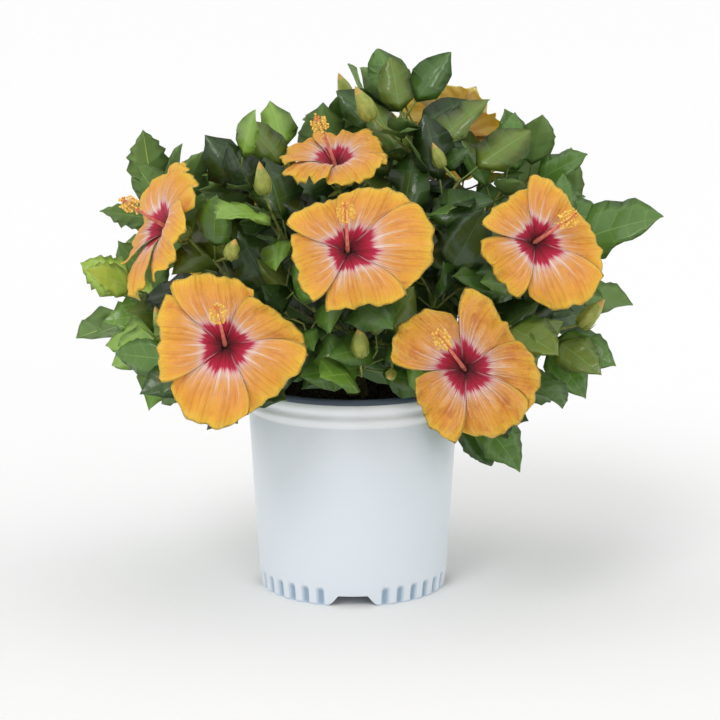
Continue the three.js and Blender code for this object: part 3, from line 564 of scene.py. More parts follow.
class Piece:
    """Collects vertices in millimetres, faces, materials and corner UVs for one object."""

    def __init__(self, name):
        self.name, self.vertices, self.faces, self.corners, self.kinds = name, [], [], [], []
        self.materials, self.count = [], 0

    def add(self, vertices, faces, material, corners=None):
        """material is one material or a list with one for each face, and corners are each face's
        corners on the two UV maps."""
        listed = material if isinstance(material, list) else [material] * len(faces)
        for one in dict.fromkeys(listed):
            if one not in self.materials:
                self.materials.append(one)
        index = {one: self.materials.index(one) for one in dict.fromkeys(listed)}
        self.vertices.append(np.asarray(vertices, float))
        self.faces.extend([tuple(k + self.count for k in face) for face in faces])
        self.kinds.extend([index[one] for one in listed])
        self.corners.extend(corners or [None] * len(faces))
        self.count += len(vertices)

    def make(self, slot, replaced):
        """Makes the object, which rides on the root and stands for the CAD nodes in replaced."""
        mesh = bpy.data.meshes.new(self.name)
        mesh.from_pydata((np.vstack(self.vertices) * MM).tolist(), [], self.faces)
        for material in self.materials:
            mesh.materials.append(material)
        mesh.polygons.foreach_set("material_index", self.kinds)
        mesh.polygons.foreach_set("use_smooth", [True] * len(self.faces))
        if self.corners[0] is not None:
            places = np.array([corner for face in self.corners for corner in face], float)
            for k, layout in enumerate(("petal", "OFBake")):
                layer = mesh.uv_layers.new(name=layout)
                layer.data.foreach_set("uv", places[:, k].ravel())
        mesh.update()
        made = bpy.data.objects.new(self.name, mesh)
        bpy.context.scene.collection.objects.link(made)
        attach(made, "root")
        if replaced:
            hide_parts(*replaced)
        return made


def ring_faces(rings, sides):
    """The quads between rings of points that lie one after another."""
    return [(r * sides + j, r * sides + (j + 1) % sides, (r + 1) * sides + (j + 1) % sides,
             (r + 1) * sides + j) for r in range(rings - 1) for j in range(sides)]


def tube(piece, line, radii, sides, material, relief=0.0, seed=0.0):
    """A limb along a line, with a radius at each ring and a dome over each end. Its relief is the
    share of the radius by which it swells and sinks."""
    count = len(radii)
    across = UP if abs(line.tangent(0)[2]) < 0.9 else np.array([1.0, 0.0, 0.0])
    vertices = []
    for k, radius in enumerate(radii):
        middle, along = line.point(k / (count - 1)), line.tangent(k / (count - 1))
        across = square_to(across, along)
        third = np.cross(along, across)
        for j in range(sides):
            a = 2 * math.pi * j / sides
            ripple = 1 + relief * (math.sin(5 * a + 1.7 * k + seed) * 0.5 + swing(seed + j, k, 0.5))
            around = math.cos(a) * across + math.sin(a) * third
            vertices.append(middle + radius * ripple * around)
    faces = ring_faces(count, sides)
    first, last = len(vertices), len(vertices) + 1
    vertices += [line.point(0) - line.tangent(0) * radii[0] * 0.35,
                 line.point(1) + line.tangent(1) * radii[-1] * 0.35]
    top = (count - 1) * sides
    faces += [(first, (j + 1) % sides, j) for j in range(sides)]
    faces += [(last, top + j, top + (j + 1) % sides) for j in range(sides)]
    piece.add(vertices, faces, material)


def thin_sheet(columns, rows, pointed):
    """The pattern of a thin sheet with a front and a back that share their rim. It gives stations
    (column, row, side) with side 0 on the rim, and faces as (corners, places, front)."""
    stations, index = [], {}

    def at(i, j, side):
        if pointed and j in (0, rows):
            key = (columns // 2, j, 0)
        elif i in (0, columns) or j in (0, rows):
            key = (i, j, 0)
        else:
            key = (i, j, side)
        if key not in index:
            index[key] = len(stations)
            stations.append(key)
        return index[key]

    faces = []
    for side in (1, -1):
        for j in range(rows):
            for i in range(columns):
                # Both sides are split along the same diagonal, so they never cross.
                places = [(i, j), (i + 1, j), (i + 1, j + 1), (i, j + 1)]
                places = places if side > 0 else [places[k] for k in (0, 3, 2, 1)]
                corners = [at(a, b, side) for a, b in places]
                kept = [k for k in range(4) if corners[k] not in corners[:k]]
                if len(kept) > 2:
                    faces.append(([corners[k] for k in kept], [places[k] for k in kept], side > 0))
    return stations, faces


# The plan of the plant

def bloom_frame(bloom):
    """A bloom with its throat, its axes, and the ends of its calyx and its rising stalk."""
    out = heading(*bloom["faces"])
    upward = square_to(UP, out)
    at = np.array(bloom["at"], float)
    calyx = at - out * CALYX_LENGTH
    rise = unit(out * 0.8 + UP * 0.6)
    return dict(bloom, at=at, out=out, upward=upward, side=np.cross(upward, out), calyx=calyx,
                rise=rise, foot=calyx - rise * STALK_LENGTH)


FRAMES = {name: bloom_frame(bloom) for name, bloom in BLOOMS.items()}


def shoot_line(root, tip, rise):
    """A shoot that sags a little before it rises, or one that ends along the stalk of a bloom."""
    length = float(np.linalg.norm(tip - root))
    if rise is None:
        return Line(root, tip, (root + tip) / 2 - UP * SHOOT_SAG * length)
    return Line(root, tip, tip - rise * 0.4 * length)


def plan(name, mass):
    """A mass with its stem from root to fork, and the lines of the shoots that leave the fork."""
    tips = [np.array(tip, float) for tip in mass["shoots"]]
    bloom = FRAMES.get(name)
    middle = np.mean(tips + ([bloom["foot"]] if bloom else []), axis=0)
    root = HEART + (middle - HEART) * BOUGH_SHARE
    along = unit(middle - HEART)
    fork = root + along * FORK_LENGTH
    lines = [shoot_line(fork, tip, None) for tip in tips]
    if bloom:
        lines.append(shoot_line(fork, bloom["foot"], bloom["rise"]))
    return dict(mass, name=name, root=root, along=along, fork=fork, lines=lines)


PLANS = [plan(name, mass) for name, mass in MASSES.items()]
STEM_LINE = Line(STEM_FOOT, STEM_FORK, STEM_BEND)


def bough_to(start, mass):
    """A bough that leaves its bearer and turns into the way of the stem of a mass."""
    length = float(np.linalg.norm(mass["root"] - start))
    return Line(start, mass["root"], mass["root"] - mass["along"] * 0.5 * length)


MAIN_BOUGHS = {}
for mass in [one for one in PLANS if one["start"] == 1]:
    share = FIRST_BOUGH_SHARE + BOUGH_STEP * len(MAIN_BOUGHS)
    MAIN_BOUGHS[mass["bough"]] = bough_to(STEM_LINE.point(share), mass)
SIDE_BOUGHS = {mass["name"]: bough_to(MAIN_BOUGHS[mass["bough"]].point(mass["start"]), mass)
               for mass in PLANS if mass["start"] < 1}


# Where leaves have room

class Cloud:
    """Points that leaves must keep clear of, each with a radius and an owner."""

    def __init__(self, most):
        self.points = np.zeros((most, 3))
        self.radii = np.zeros(most)
        self.owners = np.zeros(most, int)
        self.used = 0

    def mark(self, point, radius, owner):
        self.points[self.used] = point
        self.radii[self.used] = radius
        self.owners[self.used] = owner
        self.used += 1

    def distances(self, probes):
        """How far each point is from the nearest probe."""
        apart = self.points[:self.used, None] - probes[None]
        return np.linalg.norm(apart, axis=2).min(axis=1)


LIMBS, LEAVES = Cloud(20000), Cloud(20000)
OWNER = {name: k + 1 for k, name in enumerate(MASSES)}
MARK_SPACING = 8


def mark_limb(line, radius, owner):
    steps = math.ceil(line.length() / MARK_SPACING)
    for k in range(steps + 1):
        LIMBS.mark(line.point(k / steps), radius, owner)


def funnel_height(share):
    """How far a petal stands out of the throat, at a share of the way to its tip."""
    return FUNNEL_DEPTH * (1 - np.exp(-FUNNEL_FLARE * share)) - PETAL_RECURVE * share ** 2


def in_bloom(points):
    """True for points in a bloom, before its face, or on its stalk."""
    inside = np.zeros(len(points), bool)
    for bloom in FRAMES.values():
        offset = points - bloom["at"]
        along = offset @ bloom["out"]
        radial = np.linalg.norm(offset - along[:, None] * bloom["out"], axis=1)
        surface = funnel_height(np.minimum(1, radial / bloom["length"]))
        room = ROOM_OVER_BLOOM if bloom["faces"][1] > 50 else ROOM_BEFORE_BLOOM
        low, high = surface - ROOM_BEHIND_PETALS - bloom["ruffle"], surface + room
        petals = (radial < bloom["length"] * 1.06) & (along > low) & (along < high)
        stalk = (radial < ROOM_ROUND_STALK) & (along > -2.2 * CALYX_LENGTH) & (along < 0)
        inside |= petals | stalk
    return inside


def in_open_sky(points):
    """True for points where the sky shows through or beside the crown."""
    inside = np.zeros(len(points), bool)
    for start, end, radius in OPEN_SKY:
        start, way = np.array(start, float), np.array(end, float) - np.array(start, float)
        share = np.clip((points - start) @ way / float(way @ way), 0, 1)
        inside |= np.linalg.norm(points - start - share[:, None] * way, axis=1) < radius
    return inside


def at_pot(points):
    """True for points low before the pot, which stays bare there, or low over its mouth."""
    before = (np.abs(points[:, 0]) < 0.88 * RIM_RADIUS) & (points[:, 1] < 0)
    over = np.hypot(points[:, 0], points[:, 1]) < RIM_RADIUS + ROOM_BESIDE_RIM
    return (points[:, 2] < POT_HEIGHT + ROOM_OVER_RIM) & (before | over)


def leaf_points(leaf, t, across):
    """Points of a leaf: t along it from its foot to its tip, across it in widths."""
    t, across = np.asarray(t, float)[:, None], np.asarray(across, float)[:, None]
    drooped = leaf["out"] * t - leaf["face"] * leaf["droop"] * t * t
    return leaf["at"] + drooped * leaf["length"] + leaf["side"] * across * leaf["width"]


# Where a leaf is tested for room, as t along it and in widths across it
PROBES = np.array([[0.4, 0.46], [0.4, -0.46], [0.7, 0.38], [0.7, -0.38],
                   [0.4, 0], [0.6, 0], [0.8, 0], [1, 0]])


def leaf_fits(leaf, owner, room):
    """The leaf's probes where it has room, or else None."""
    probes = leaf_points(leaf, PROBES[:, 0], PROBES[:, 1])
    if (np.abs(probes) > REACH).any() or at_pot(probes).any():
        return None
    if in_bloom(probes).any() or in_open_sky(probes).any():
        return None
    others = LIMBS.owners[:LIMBS.used] != owner
    if (LIMBS.distances(probes) < LIMBS.radii[:LIMBS.used] + LIMB_ROOM)[others].any():
        return None
    own = LEAVES.owners[:LEAVES.used] == owner
    if (LEAVES.distances(probes) < np.where(own, OWN_LEAF_ROOM, LEAF_ROOM) * room).any():
        return None
    return probes


def open_side(point):
    """The way a leaf turns its upper face: outwards, to the sky and to the nearer broad side."""
    broad = np.array([0.0, -1.0 if point[1] < 20 else 1.0, 0.0])
    return unit(point - HEART) * 0.5 + broad * 0.8 + UP * 0.55


GROWN = []


def keep_leaf(leaf, mass, room):
    """Keeps a leaf that has room, and marks its place. Says whether it did."""
    probes = leaf_fits(leaf, OWNER[mass["name"]], room)
    if probes is None:
        return False
    for point in probes:
        LEAVES.mark(point, 0, OWNER[mass["name"]])
    GROWN.append(dict(leaf, mass=mass))
    return True


def grow_far_leaf(mass, tip, lines):
    """A leaf that reaches to a given tip, from the shoot point that suits its length."""
    starts = [line.on_twig(share) for line in lines for share in FAR_LEAF_SHARES]
    starts.sort(key=lambda at: abs(float(np.linalg.norm(at - tip)) - FAR_LEAF_LENGTH))
    for at in starts[:FAR_LEAF_TRIES]:
        length = float(np.linalg.norm(tip - at))
        direct = unit(tip - at)
        face = square_to(open_side(tip), direct)
        out = unit(direct + face * FAR_DROOP)
        leaf = dict(at=at, out=out, face=face, side=np.cross(out, face), length=length,
                    width=length * (1 - PETIOLE_SHARE) * LEAF_WIDTH, droop=FAR_DROOP,
                    age=1.0, seed=float(tip[0]) * 0.31 + 7)
        if keep_leaf(leaf, mass, 1.0):
            return


def grow_leaf(at, along, turn, age, scale, seed, k):
    """The leaf at a place on a shoot, turned round the shoot from the side away from the heart.
    The young ones stand up, and the old ones spread and droop."""
    around = rotate(square_to(at - HEART, along), along, turn)
    opening = math.radians(OPENING[0] + OPENING[1] * age + swing(seed, 5 * k + 1, 9))
    pull = UPWARD_PULL[0] + UPWARD_PULL[1] * age
    out = unit(along * math.cos(opening) + around * math.sin(opening) + UP * pull)
    face = rotate(square_to(open_side(at), out), out, swing(seed, 5 * k + 2, 0.5))
    grown = YOUNG_SHARE + (1 - YOUNG_SHARE) * age
    size = LEAF_LENGTH * scale * grown * (1 + swing(seed, 5 * k + 3, 0.12))
    return dict(at=at, out=out, face=face, side=np.cross(out, face),
                length=size / (1 - PETIOLE_SHARE),
                width=size * LEAF_WIDTH * (1 + swing(seed, 5 * k + 4, 0.1)),
                droop=DROOP[0] + DROOP[1] * age, age=age, seed=seed + 0.37 * k)


# How far a leaf with no room is turned, in radians, and what is left of its size there
LEAF_TRIES = [(0, 1), (0.5, 1), (-0.5, 1), (1, 1), (-1, 0.8), (1.7, 0.8), (-1.7, 0.8)]


def grow_leaves(mass, line, seed, spacing, most, scale, room):
    """The leaves of one shoot from its tip down, by the golden angle. One with no room is turned,
    shortened or left out."""
    length = line.length()
    count = min(most, max(FEWEST_LEAVES, math.floor(length / spacing + 0.5)))
    for k in range(count):
        age = min(1, (k + 0.9) / LEAVES_TO_FULL_SIZE)
        share = max(LOWEST_LEAF, HIGHEST_LEAF - k * spacing / length)
        at, along = line.on_twig(share), line.tangent(share)
        for offset, shorter in LEAF_TRIES:
            turn = seed + k * LEAF_TURN + offset
            if keep_leaf(grow_leaf(at, along, turn, age, scale * shorter, seed, k), mass, room):
                break


mark_limb(STEM_LINE, STEM_RADII[2], 0)
for line in MAIN_BOUGHS.values():
    mark_limb(line, BOUGH_RADIUS, 0)
for line in SIDE_BOUGHS.values():
    mark_limb(line, SIDE_BOUGH_RADIUS, 0)
for mass in PLANS:
    for line in mass["lines"]:
        mark_limb(line, TWIG_RADIUS, OWNER[mass["name"]])
    for shoot, x, y, z, length in mass["buds"]:
        LIMBS.mark((x, y, z - length / 2), length / 3, 0)
for mass in PLANS:
    for tip in mass["far"]:
        # A fourth number names the only shoot that may bear the leaf.
        bearers = [mass["lines"][tip[3]]] if len(tip) > 3 else mass["lines"]
        grow_far_leaf(mass, np.array(tip[:3], float), bearers)
for mass in PLANS:
    for k, line in enumerate(mass["lines"]):
        grow_leaves(mass, line, mass["seed"] + 1.7 * k, LEAF_SPACING, MOST_LEAVES, 1.0, 1.0)

# Finer twigs with smaller leaves, where there is still room for at least two. The left side has
# none, and stays open, with sky between its leaves.
SIDE_TWIGS = []
for mass in PLANS:
    for k, line in enumerate(mass["lines"]):
        for n, share in enumerate(() if mass["side"] == "left" else SIDE_TWIG_SHARES):
            seed = mass["seed"] + 1.7 * k + 11.3 * n
            along = line.tangent(share)
            around = rotate(square_to(line.point(share) - HEART, along), along, seed * 2.4)
            start = line.on_twig(share)
            length = SIDE_TWIG_LENGTH + swing(seed, 90, 8)
            tip = start + unit(along * 0.75 + around + UP * 0.15) * length
            twig = Line(start, tip, start + along * length * 0.45 + around * length * 0.15)
            before = len(GROWN)
            grow_leaves(mass, twig, seed, SIDE_LEAF_SPACING, MOST_SIDE_LEAVES, SIDE_LEAF_SCALE,
                        SIDE_LEAF_ROOM)
            if len(GROWN) > before + 1:
                SIDE_TWIGS.append(twig)
            else:
                del GROWN[before:]
print("leaves grown:", len(GROWN), "side twigs:", len(SIDE_TWIGS))


# Leaves

# A vein's share of the space between two side veins, half the rib's share of half the leaf's
# width, and half the leaf's thickness in millimetres
VEIN_SHARE = 0.09
RIB_HALF = 0.024
LEAF_HALF_THICKNESS = 0.4
# How far the rib and the veins sink and the blade swells, as a share of the leaf's width
LEAF_RELIEF = 0.02
# How deep the teeth are cut on plain and on lobed leaves, and the share of plain ones on the left
PLAIN_TEETH = 0.3
LOBED_TEETH = 3.5
PLAIN_ON_LEFT = 0.35
MOST_ROUNDING = 0.36
# Leaves shorter than this, or deeper in the crown, have fewer veins and no swell between them.
SMALL_LEAF_LENGTH = 62
DEEP_SHARE = 0.55


def leaf_pattern(columns, veins, slant):
    """A leaf of unit length and width, as arrays by station: its place along and across, the
    outline's half width, its teeth and its relief, with the faces and the skin of each. Each side
    vein is a narrow sunken strip that runs forward from the rib to a tooth, and the blade swells
    between two of them."""
    rows = 3 * veins
    stations, faces = thin_sheet(len(columns) - 1, rows, True)
    station = np.array(stations)
    across = np.array(columns)[station[:, 0]]
    row = station[:, 1]
    across[(row == 0) | (row == rows)] = 0
    step = row % 3
    even = (row // 3 + np.choose(step, [0.0, 0.54, 1 - VEIN_SHARE])) / veins
    along = even + slant * np.abs(across) * (1 - even) * np.minimum(1, even * 4)
    inside = np.clip(along, 0, 1)
    outline = np.sin(math.pi * inside ** 0.74) ** (0.6 + 0.55 * inside ** 3)
    toothed = (along > 0.15) & (along < 0.97)
    tooth = np.choose(step, [0.034, -0.026, 0.02]) * toothed * np.abs(across) ** 3
    rib = columns.index(-RIB_HALF)
    skins = []
    for corners, places, front in faces:
        met = [j for i, j in places]
        if all(rib <= i <= rib + 1 for i, j in places):
            skins.append("rib")
        elif not front:
            skins.append("underside")
        else:
            skins.append("vein" if min(met) % 3 == 2 and max(met) < rows else "blade")
    return dict(along=along, across=across, outline=outline, tooth=tooth, side=station[:, 2],
                swell=np.choose(step, [-1.0, 1.2, -1.0]), faces=[face[0] for face in faces],
                skins=skins)


FULL_LEAF = leaf_pattern([-1, -0.5, -RIB_HALF, RIB_HALF, 0.5, 1], 5, 0.3)
PLAIN_LEAF = leaf_pattern([-1, -RIB_HALF, RIB_HALF, 1], 3, 0.12)


def depth_in_crown(leaf):
    """How far out a leaf starts, from 0 at the heart of the crown to about 1 at its outside."""
    return float(np.linalg.norm((leaf["at"] - HEART) / REACH))


def add_leaf(piece, leaf):
    """One leaf with its stalk. Its teeth, fold, waves and curl are drawn by its seed."""
    seed, width = leaf["seed"], leaf["width"]
    small = leaf["length"] < SMALL_LEAF_LENGTH
    form = PLAIN_LEAF if small or depth_in_crown(leaf) < DEEP_SHARE else FULL_LEAF
    along, across = form["along"], form["across"]
    lobed = leaf["mass"]["side"] == "left" and chance(seed, 26) > PLAIN_ON_LEFT
    teeth = (LOBED_TEETH if lobed else PLAIN_TEETH) + 1.4 * chance(seed, 25)
    # Leaves that aren't lobed range from pointed to nearly round.
    rounder = 0.0 if lobed else MOST_ROUNDING * chance(seed, 27)
    half = form["outline"] ** (1 - rounder) * (1 + form["tooth"] * teeth)
    lateral = across * half * 0.5
    points = leaf_points(leaf, PETIOLE_SHARE + (1 - PETIOLE_SHARE) * along, lateral)
    fold = (0.1 + 0.22 * chance(seed, 21)) * np.abs(lateral) - 0.3 * lateral ** 2
    phase = 2 * math.pi * (2.1 * along + chance(seed, 23)) + (across > 0) * 1.9
    wave = (0.04 + 0.05 * chance(seed, 22)) * np.sin(phase) * across ** 2 * half
    curl = swing(seed, 24, 0.3) * lateral * along
    swell = form["swell"] * (1 - np.abs(across) ** 4) * (np.abs(across) > 0.2)
    rib = np.abs(across) < 0.1
    lift = width * (fold + wave + curl + LEAF_RELIEF * (swell - rib))
    lift += form["side"] * LEAF_HALF_THICKNESS
    points = points + leaf["face"] * lift[:, None]
    green = leaf["green"]
    skins = {"blade": GREENS[green][leaf["shade"]], "vein": LEAF_VEINS[green],
             "rib": LEAF_RIBS[green], "underside": LEAF_UNDERSIDE}
    piece.add(points, form["faces"], [skins[skin] for skin in form["skins"]])
    stalk_end = leaf_points(leaf, [PETIOLE_SHARE + 0.02], [0])[0]
    middle = leaf_points(leaf, [PETIOLE_SHARE * 0.5], [0])[0] - leaf["face"] * 1.5
    tube(piece, Line(leaf["at"], stalk_end, middle), [1.1, 0.8, 0.9], 4, LEAF_STALK)


# How often the outermost leaves of each side are a step brighter, as painted sunlight, how light its
# youngest leaves are at least, and how light any of its leaves is at most
PAINTED_SUNLIGHT_SHARE = {"front": 0.2, "right": 0.14, "left": 0.85, "back": 0.45}
YOUNG_GREEN = {"front": 2, "right": 2, "left": 3, "back": 3}
LIGHTEST_GREEN = {"front": 4, "right": 2, "left": 4, "back": 4}
# Within this depth in the crown a leaf is drawn darker, partly for its age and partly as painted
# shade, and beyond this share of the crown's half width or height it is one of the outermost.
PAINTED_SHADE_DEPTH = 0.48
OUTER_SHARE = 0.74
CROWN_HALF_WIDTH = 275
CROWN_HEIGHT = 265


def choose_green(leaf):
    """Young leaves are yellow-green, each shoot keeps near its mass's main green, the outermost
    leaves are brighter with painted sunlight, and leaves deep in the crown are darker, partly for
    their age and partly as painted shade."""
    seed, side = leaf["seed"], leaf["mass"]["side"]
    green = leaf["mass"]["green"] + 1
    # Partly painted shade: leaves deep in the crown are a step darker
    if depth_in_crown(leaf) < PAINTED_SHADE_DEPTH:
        green = min(green, 2) - 1
    draw = chance(seed, 31)
    tip = leaf_points(leaf, [1.0], [0.0])[0]
    outer = max(abs(tip[0]) / CROWN_HALF_WIDTH, (tip[2] - HEART[2]) / CROWN_HEIGHT)
    # Painted sunlight: some of the outermost leaves are a step brighter
    if outer > OUTER_SHARE and draw < PAINTED_SUNLIGHT_SHARE[side]:
        green += 1
    if leaf["age"] < 0.3 and draw > 0.35:
        green = max(YOUNG_GREEN[side], green + 1)
    elif (leaf["age"] < 0.5 and draw > 0.5) or draw > 0.88:
        green += 1
    elif draw < 0.25:
        green -= 1
    leaf["green"] = max(0, min(LIGHTEST_GREEN[side], green))
    leaf["shade"] = int(chance(seed, 32) > 0.55)


for side in ("front", "right", "left", "back"):
    blades = Piece("leaves_" + side)
    for leaf in GROWN:
        if leaf["mass"]["side"] == side:
            choose_green(leaf)
            add_leaf(blades, leaf)
    replaced = ["foliage_" + name for name, mass in MASSES.items() if mass["side"] == side]
    blades.make("leaves", replaced)


# Stems, boughs and twigs

def tapered(thick, thin, rings):
    """Radii that fall evenly from thick to thin."""
    return list(np.linspace(thick, thin, rings))


wood = Piece("stem_and_boughs")
heights = np.linspace(0, 1, len(STEM_RADII))
rings = list(np.interp(np.arange(15) / 14, heights, STEM_RADII))
tube(wood, STEM_LINE, rings, 18, BARK, 0.08, 2.0)
for k, line in enumerate(MAIN_BOUGHS.values()):
    tube(wood, line, tapered(BOUGH_RADIUS * 1.15, BOUGH_TIP_RADIUS, 14), 12, BARK, 0.08, 3.0 + k)
for k, line in enumerate(SIDE_BOUGHS.values()):
    tube(wood, line, tapered(SIDE_BOUGH_RADIUS, BOUGH_TIP_RADIUS, 10), 10, BARK, 0.06, 9.0 + k)
wood.make("bark", ["main_stem"] + ["bough_" + name for name in MAIN_BOUGHS]
          + ["side_bough_" + name for name in SIDE_BOUGHS])

twigs = Piece("green_twigs")
for mass in PLANS:
    tube(twigs, Line(mass["root"], mass["fork"] + mass["along"] * 3), [2.6, 2.4, 2.3], 8, TWIG)
    for k, line in enumerate(mass["lines"]):
        tube(twigs, line, tapered(TWIG_RADIUS, TWIG_TIP_RADIUS, 10), 7, TWIG, 0.06, 1.0 + k)
for twig in SIDE_TWIGS:
    tube(twigs, twig, [1.3, 1.1, 1.0, 0.9], 6, TWIG)
twigs.make("leaves", [])


# Blooms

PETALS = 5
PETAL_COLUMNS, PETAL_ROWS = 28, 24
PETAL_STATIONS, PETAL_FACES = thin_sheet(PETAL_COLUMNS, PETAL_ROWS, False)
PETAL_PLACE = np.array(PETAL_STATIONS)
PETAL_HALF_THICKNESS = 0.3
# A bloom more ruffled than this is an older one with a creped face.
CREPED_RUFFLE = 7
COLUMN_RADII = [3.2, 2.2, 1.8, 1.6, 1.5, 1.4, 1.3, 1.2, 1.1, 0.9]
ANTHER_START, ANTHER_END = 0.8, 0.98
EPICALYX_LOBES = 7
# The small waves of a petal: their height, what each step of ruffle adds to it, the power of the
# share of the way out that it grows by, their turns across and along, and their draw
PETAL_WAVES = [(0.4, 0.3, 5, 1.9, 0, 7), (0.9, 0, 6, 3.7, 0, 9), (0, 0.2, 2, 1.7, 2.9, 8),
               (0, 0.11, 1, -2.3, 4.1, 10)]


def petals_of(bloom):
    """Each petal's angle in the bloom and its three lengths."""
    if "petals" in bloom:
        return bloom["petals"]
    found = []
    for k in range(PETALS):
        first, middle, last = [bloom["length"] * (1 + swing(bloom["turn"] + 10 * k, draw, 0.13))
                               for draw in (61, 62, 63)]
        found.append((bloom["turn"] + 360 / PETALS * k, first, middle * 0.95, last))
    return found


def petal_surface(bloom, petal, u, v):
    """Points on a petal: u across it from -1 to 1, v along it from 0 to 1."""
    seed = bloom["turn"] + 10 * petal
    turn, first, middle, last = petals_of(bloom)[petal]

    def sine(turns, draw):
        return np.sin(2 * math.pi * (turns + chance(seed, draw)))

    length = middle + (last - first) / 2 * u + ((first + last) / 2 - middle) * u * u
    scalloped = 1 + 0.022 * (sine(1.3 * u, 5) + 0.6 * sine(2.7 * u, 6)) * v ** 3
    share = np.maximum(0, v) * (1 - 0.26 * np.abs(u) ** 2.4) * scalloped
    spread = 0.13 + 0.87 * np.sin(np.minimum(1, share / 0.74) * math.pi / 2) ** 1.15
    sideways = u * spread * length * PETAL_WIDTH * 0.5
    outward = 3 - 1.6 * np.exp(-14 * share) + length * share
    broad_wave = share ** 1.6 * (0.6 * sine(1.1 * u, 2) + 0.4 * sine(2.3 * u, 3))
    edge_wave = 0.5 * share * np.abs(u) ** 3 * sine(1.9 * share, 4)
    cupped = 3 * u * u * (1 - 1.5 * share)
    ribbed = 0.35 * np.sin(2 * math.pi * 9 * u) * np.sqrt(share) * (1 - share ** 3)
    height = (funnel_height(share) + PETAL_TILT * sideways + cupped + ribbed - 3 * share ** 8
              + bloom["ruffle"] * (broad_wave + edge_wave))
    for plain, ruffled, power, across, along, draw in PETAL_WAVES:
        reach = (plain + ruffled * bloom["ruffle"]) * share ** power
        height += reach * sine(across * u + along * share, draw)
    c, s = math.cos(math.radians(turn)), math.sin(math.radians(turn))
    return (bloom["at"] + bloom["side"] * (outward * c - sideways * s)[:, None]
            + bloom["upward"] * (outward * s + sideways * c)[:, None] + bloom["out"] * height[:, None])


def add_petal(piece, bloom, petal):
    """One petal with its face and its back. Its first UV map lies along it, and on the second,
    which a baked picture would use, no two petals or sides overlap."""
    u = 2 * PETAL_PLACE[:, 0] / PETAL_COLUMNS - 1
    v = PETAL_PLACE[:, 1] / PETAL_ROWS
    apart = PETAL_PLACE[:, 2] * PETAL_HALF_THICKNESS
    points = petal_surface(bloom, petal, u, v) + bloom["out"] * apart[:, None]
    face_material = CREPED_PETAL_FACE if bloom["ruffle"] > CREPED_RUFFLE else PETAL_FACE
    kinds, corners, faces = [], [], []
    for face, places, front in PETAL_FACES:
        # Across runs the other way round the throat, so the front face is turned to look outwards.
        order = slice(None, None, -1)
        faces.append(face[order])
        kinds.append(face_material if front else PETAL_BACK)
        corner = []
        for i, j in places[order]:
            a, b = i / PETAL_COLUMNS, j / PETAL_ROWS
            strip = (petal + 0.02 + 0.96 * a) / PETALS
            half = ((0 if front else 1) + 0.02 + 0.96 * b) / 2
            corner.append(((a, b), (strip, half)))
        corners.append(corner)
    piece.add(points, faces, kinds, corners)


def column_line(bloom):
    """The stamen column: it starts straight out of the throat and leans towards its tip."""
    sideways, upwards = bloom["lean"]
    leaning = bloom["side"] * sideways + bloom["upward"] * upwards
    forward = math.sqrt(COLUMN_LENGTH ** 2 - float(leaning @ leaning))
    bend = bloom["at"] + bloom["out"] * 0.5 * forward + leaning * 0.3
    return Line(bloom["at"] - bloom["out"] * 4, bloom["at"] + bloom["out"] * forward + leaning, bend)


def add_column(bloom):
    """The column with five stigma pads on short threads, and the sleeve that its anthers grow on."""
    line = column_line(bloom)
    tube(columns, line, COLUMN_RADII, 10, COLUMN_CORAL)
    tip, along = line.point(0.97), line.tangent(1)
    across = square_to(UP, along)
    for k in range(5):
        around = rotate(across, along, 2 * math.pi * k / 5)
        pad = tip + along * 3 + around * 2.2
        tube(columns, Line(tip, pad, tip + along * 2.5), [0.5, 0.4, 0.4], 5, COLUMN_CORAL)
        ends = pad - around * 0.6, pad + around * 0.6
        tube(columns, Line(*ends), [0.7, 1.2, 0.7], 8, STIGMA_VELVET)
    middle = line.point((ANTHER_START + ANTHER_END) / 2)
    upper = Line(line.point(ANTHER_START), line.point(ANTHER_END), middle)
    tube(sleeves, upper, [1.5, 1.6, 1.5, 1.4, 1.2], 10, COLUMN_CORAL)


def add_lobe(piece, root, tip, bend):
    """One narrow pointed lobe of the ring under a calyx."""
    tube(piece, Line(root, tip, bend), [0.9, 0.8, 0.5, 0.2], 4, CALYX_GREEN)


def add_calyx(bloom):
    """The calyx behind a bloom, the ring of narrow lobes round it, and the stalk."""
    calyx = Line(bloom["calyx"], bloom["at"] - bloom["out"] * 3.5)
    tube(greens, calyx, [2.2, 4.4, 5.6, 6.0, 5.4, 3.4], 15, CALYX_GREEN, 0.05, 4.0)
    for k in range(EPICALYX_LOBES):
        around = rotate(bloom["upward"], bloom["out"], 2 * math.pi * k / EPICALYX_LOBES)
        root = bloom["calyx"] + around * 2
        add_lobe(greens, root, root + bloom["out"] * 9 + around * 8, root + around * 7)
    bend = bloom["foot"] + bloom["rise"] * STALK_LENGTH * 0.6
    stalk = Line(bloom["foot"], calyx.point(0.2), bend)
    tube(greens, stalk, [1.5, 1.4, 1.4, 1.4, 1.5, 1.7], 7, CALYX_GREEN)


columns, greens = Piece("stamen_columns"), Piece("calyces_and_stalks")
sleeves = Piece("anther_sleeves")
for name, bloom in FRAMES.items():
    corolla = Piece("petals_" + name)
    for petal in range(PETALS):
        add_petal(corolla, bloom, petal)
    corolla.make("petals", ["bloom_" + name])
    add_column(bloom)
    add_calyx(bloom)


def geometry_tree(name, inputs):
    """An empty Geometry Nodes tree with a geometry socket and named number inputs. It gives the
    tree, its input node and its output node."""
    tree = bpy.data.node_groups.new(name, "GeometryNodeTree")
    tree.interface.new_socket("Geometry", in_out="INPUT", socket_type="NodeSocketGeometry")
    for label, kind in inputs.items():
        tree.interface.new_socket(label, in_out="INPUT", socket_type=kind)
    tree.interface.new_socket("Geometry", in_out="OUTPUT", socket_type="NodeSocketGeometry")
    return tree, tree.nodes.new("NodeGroupInput"), tree.nodes.new("NodeGroupOutput")


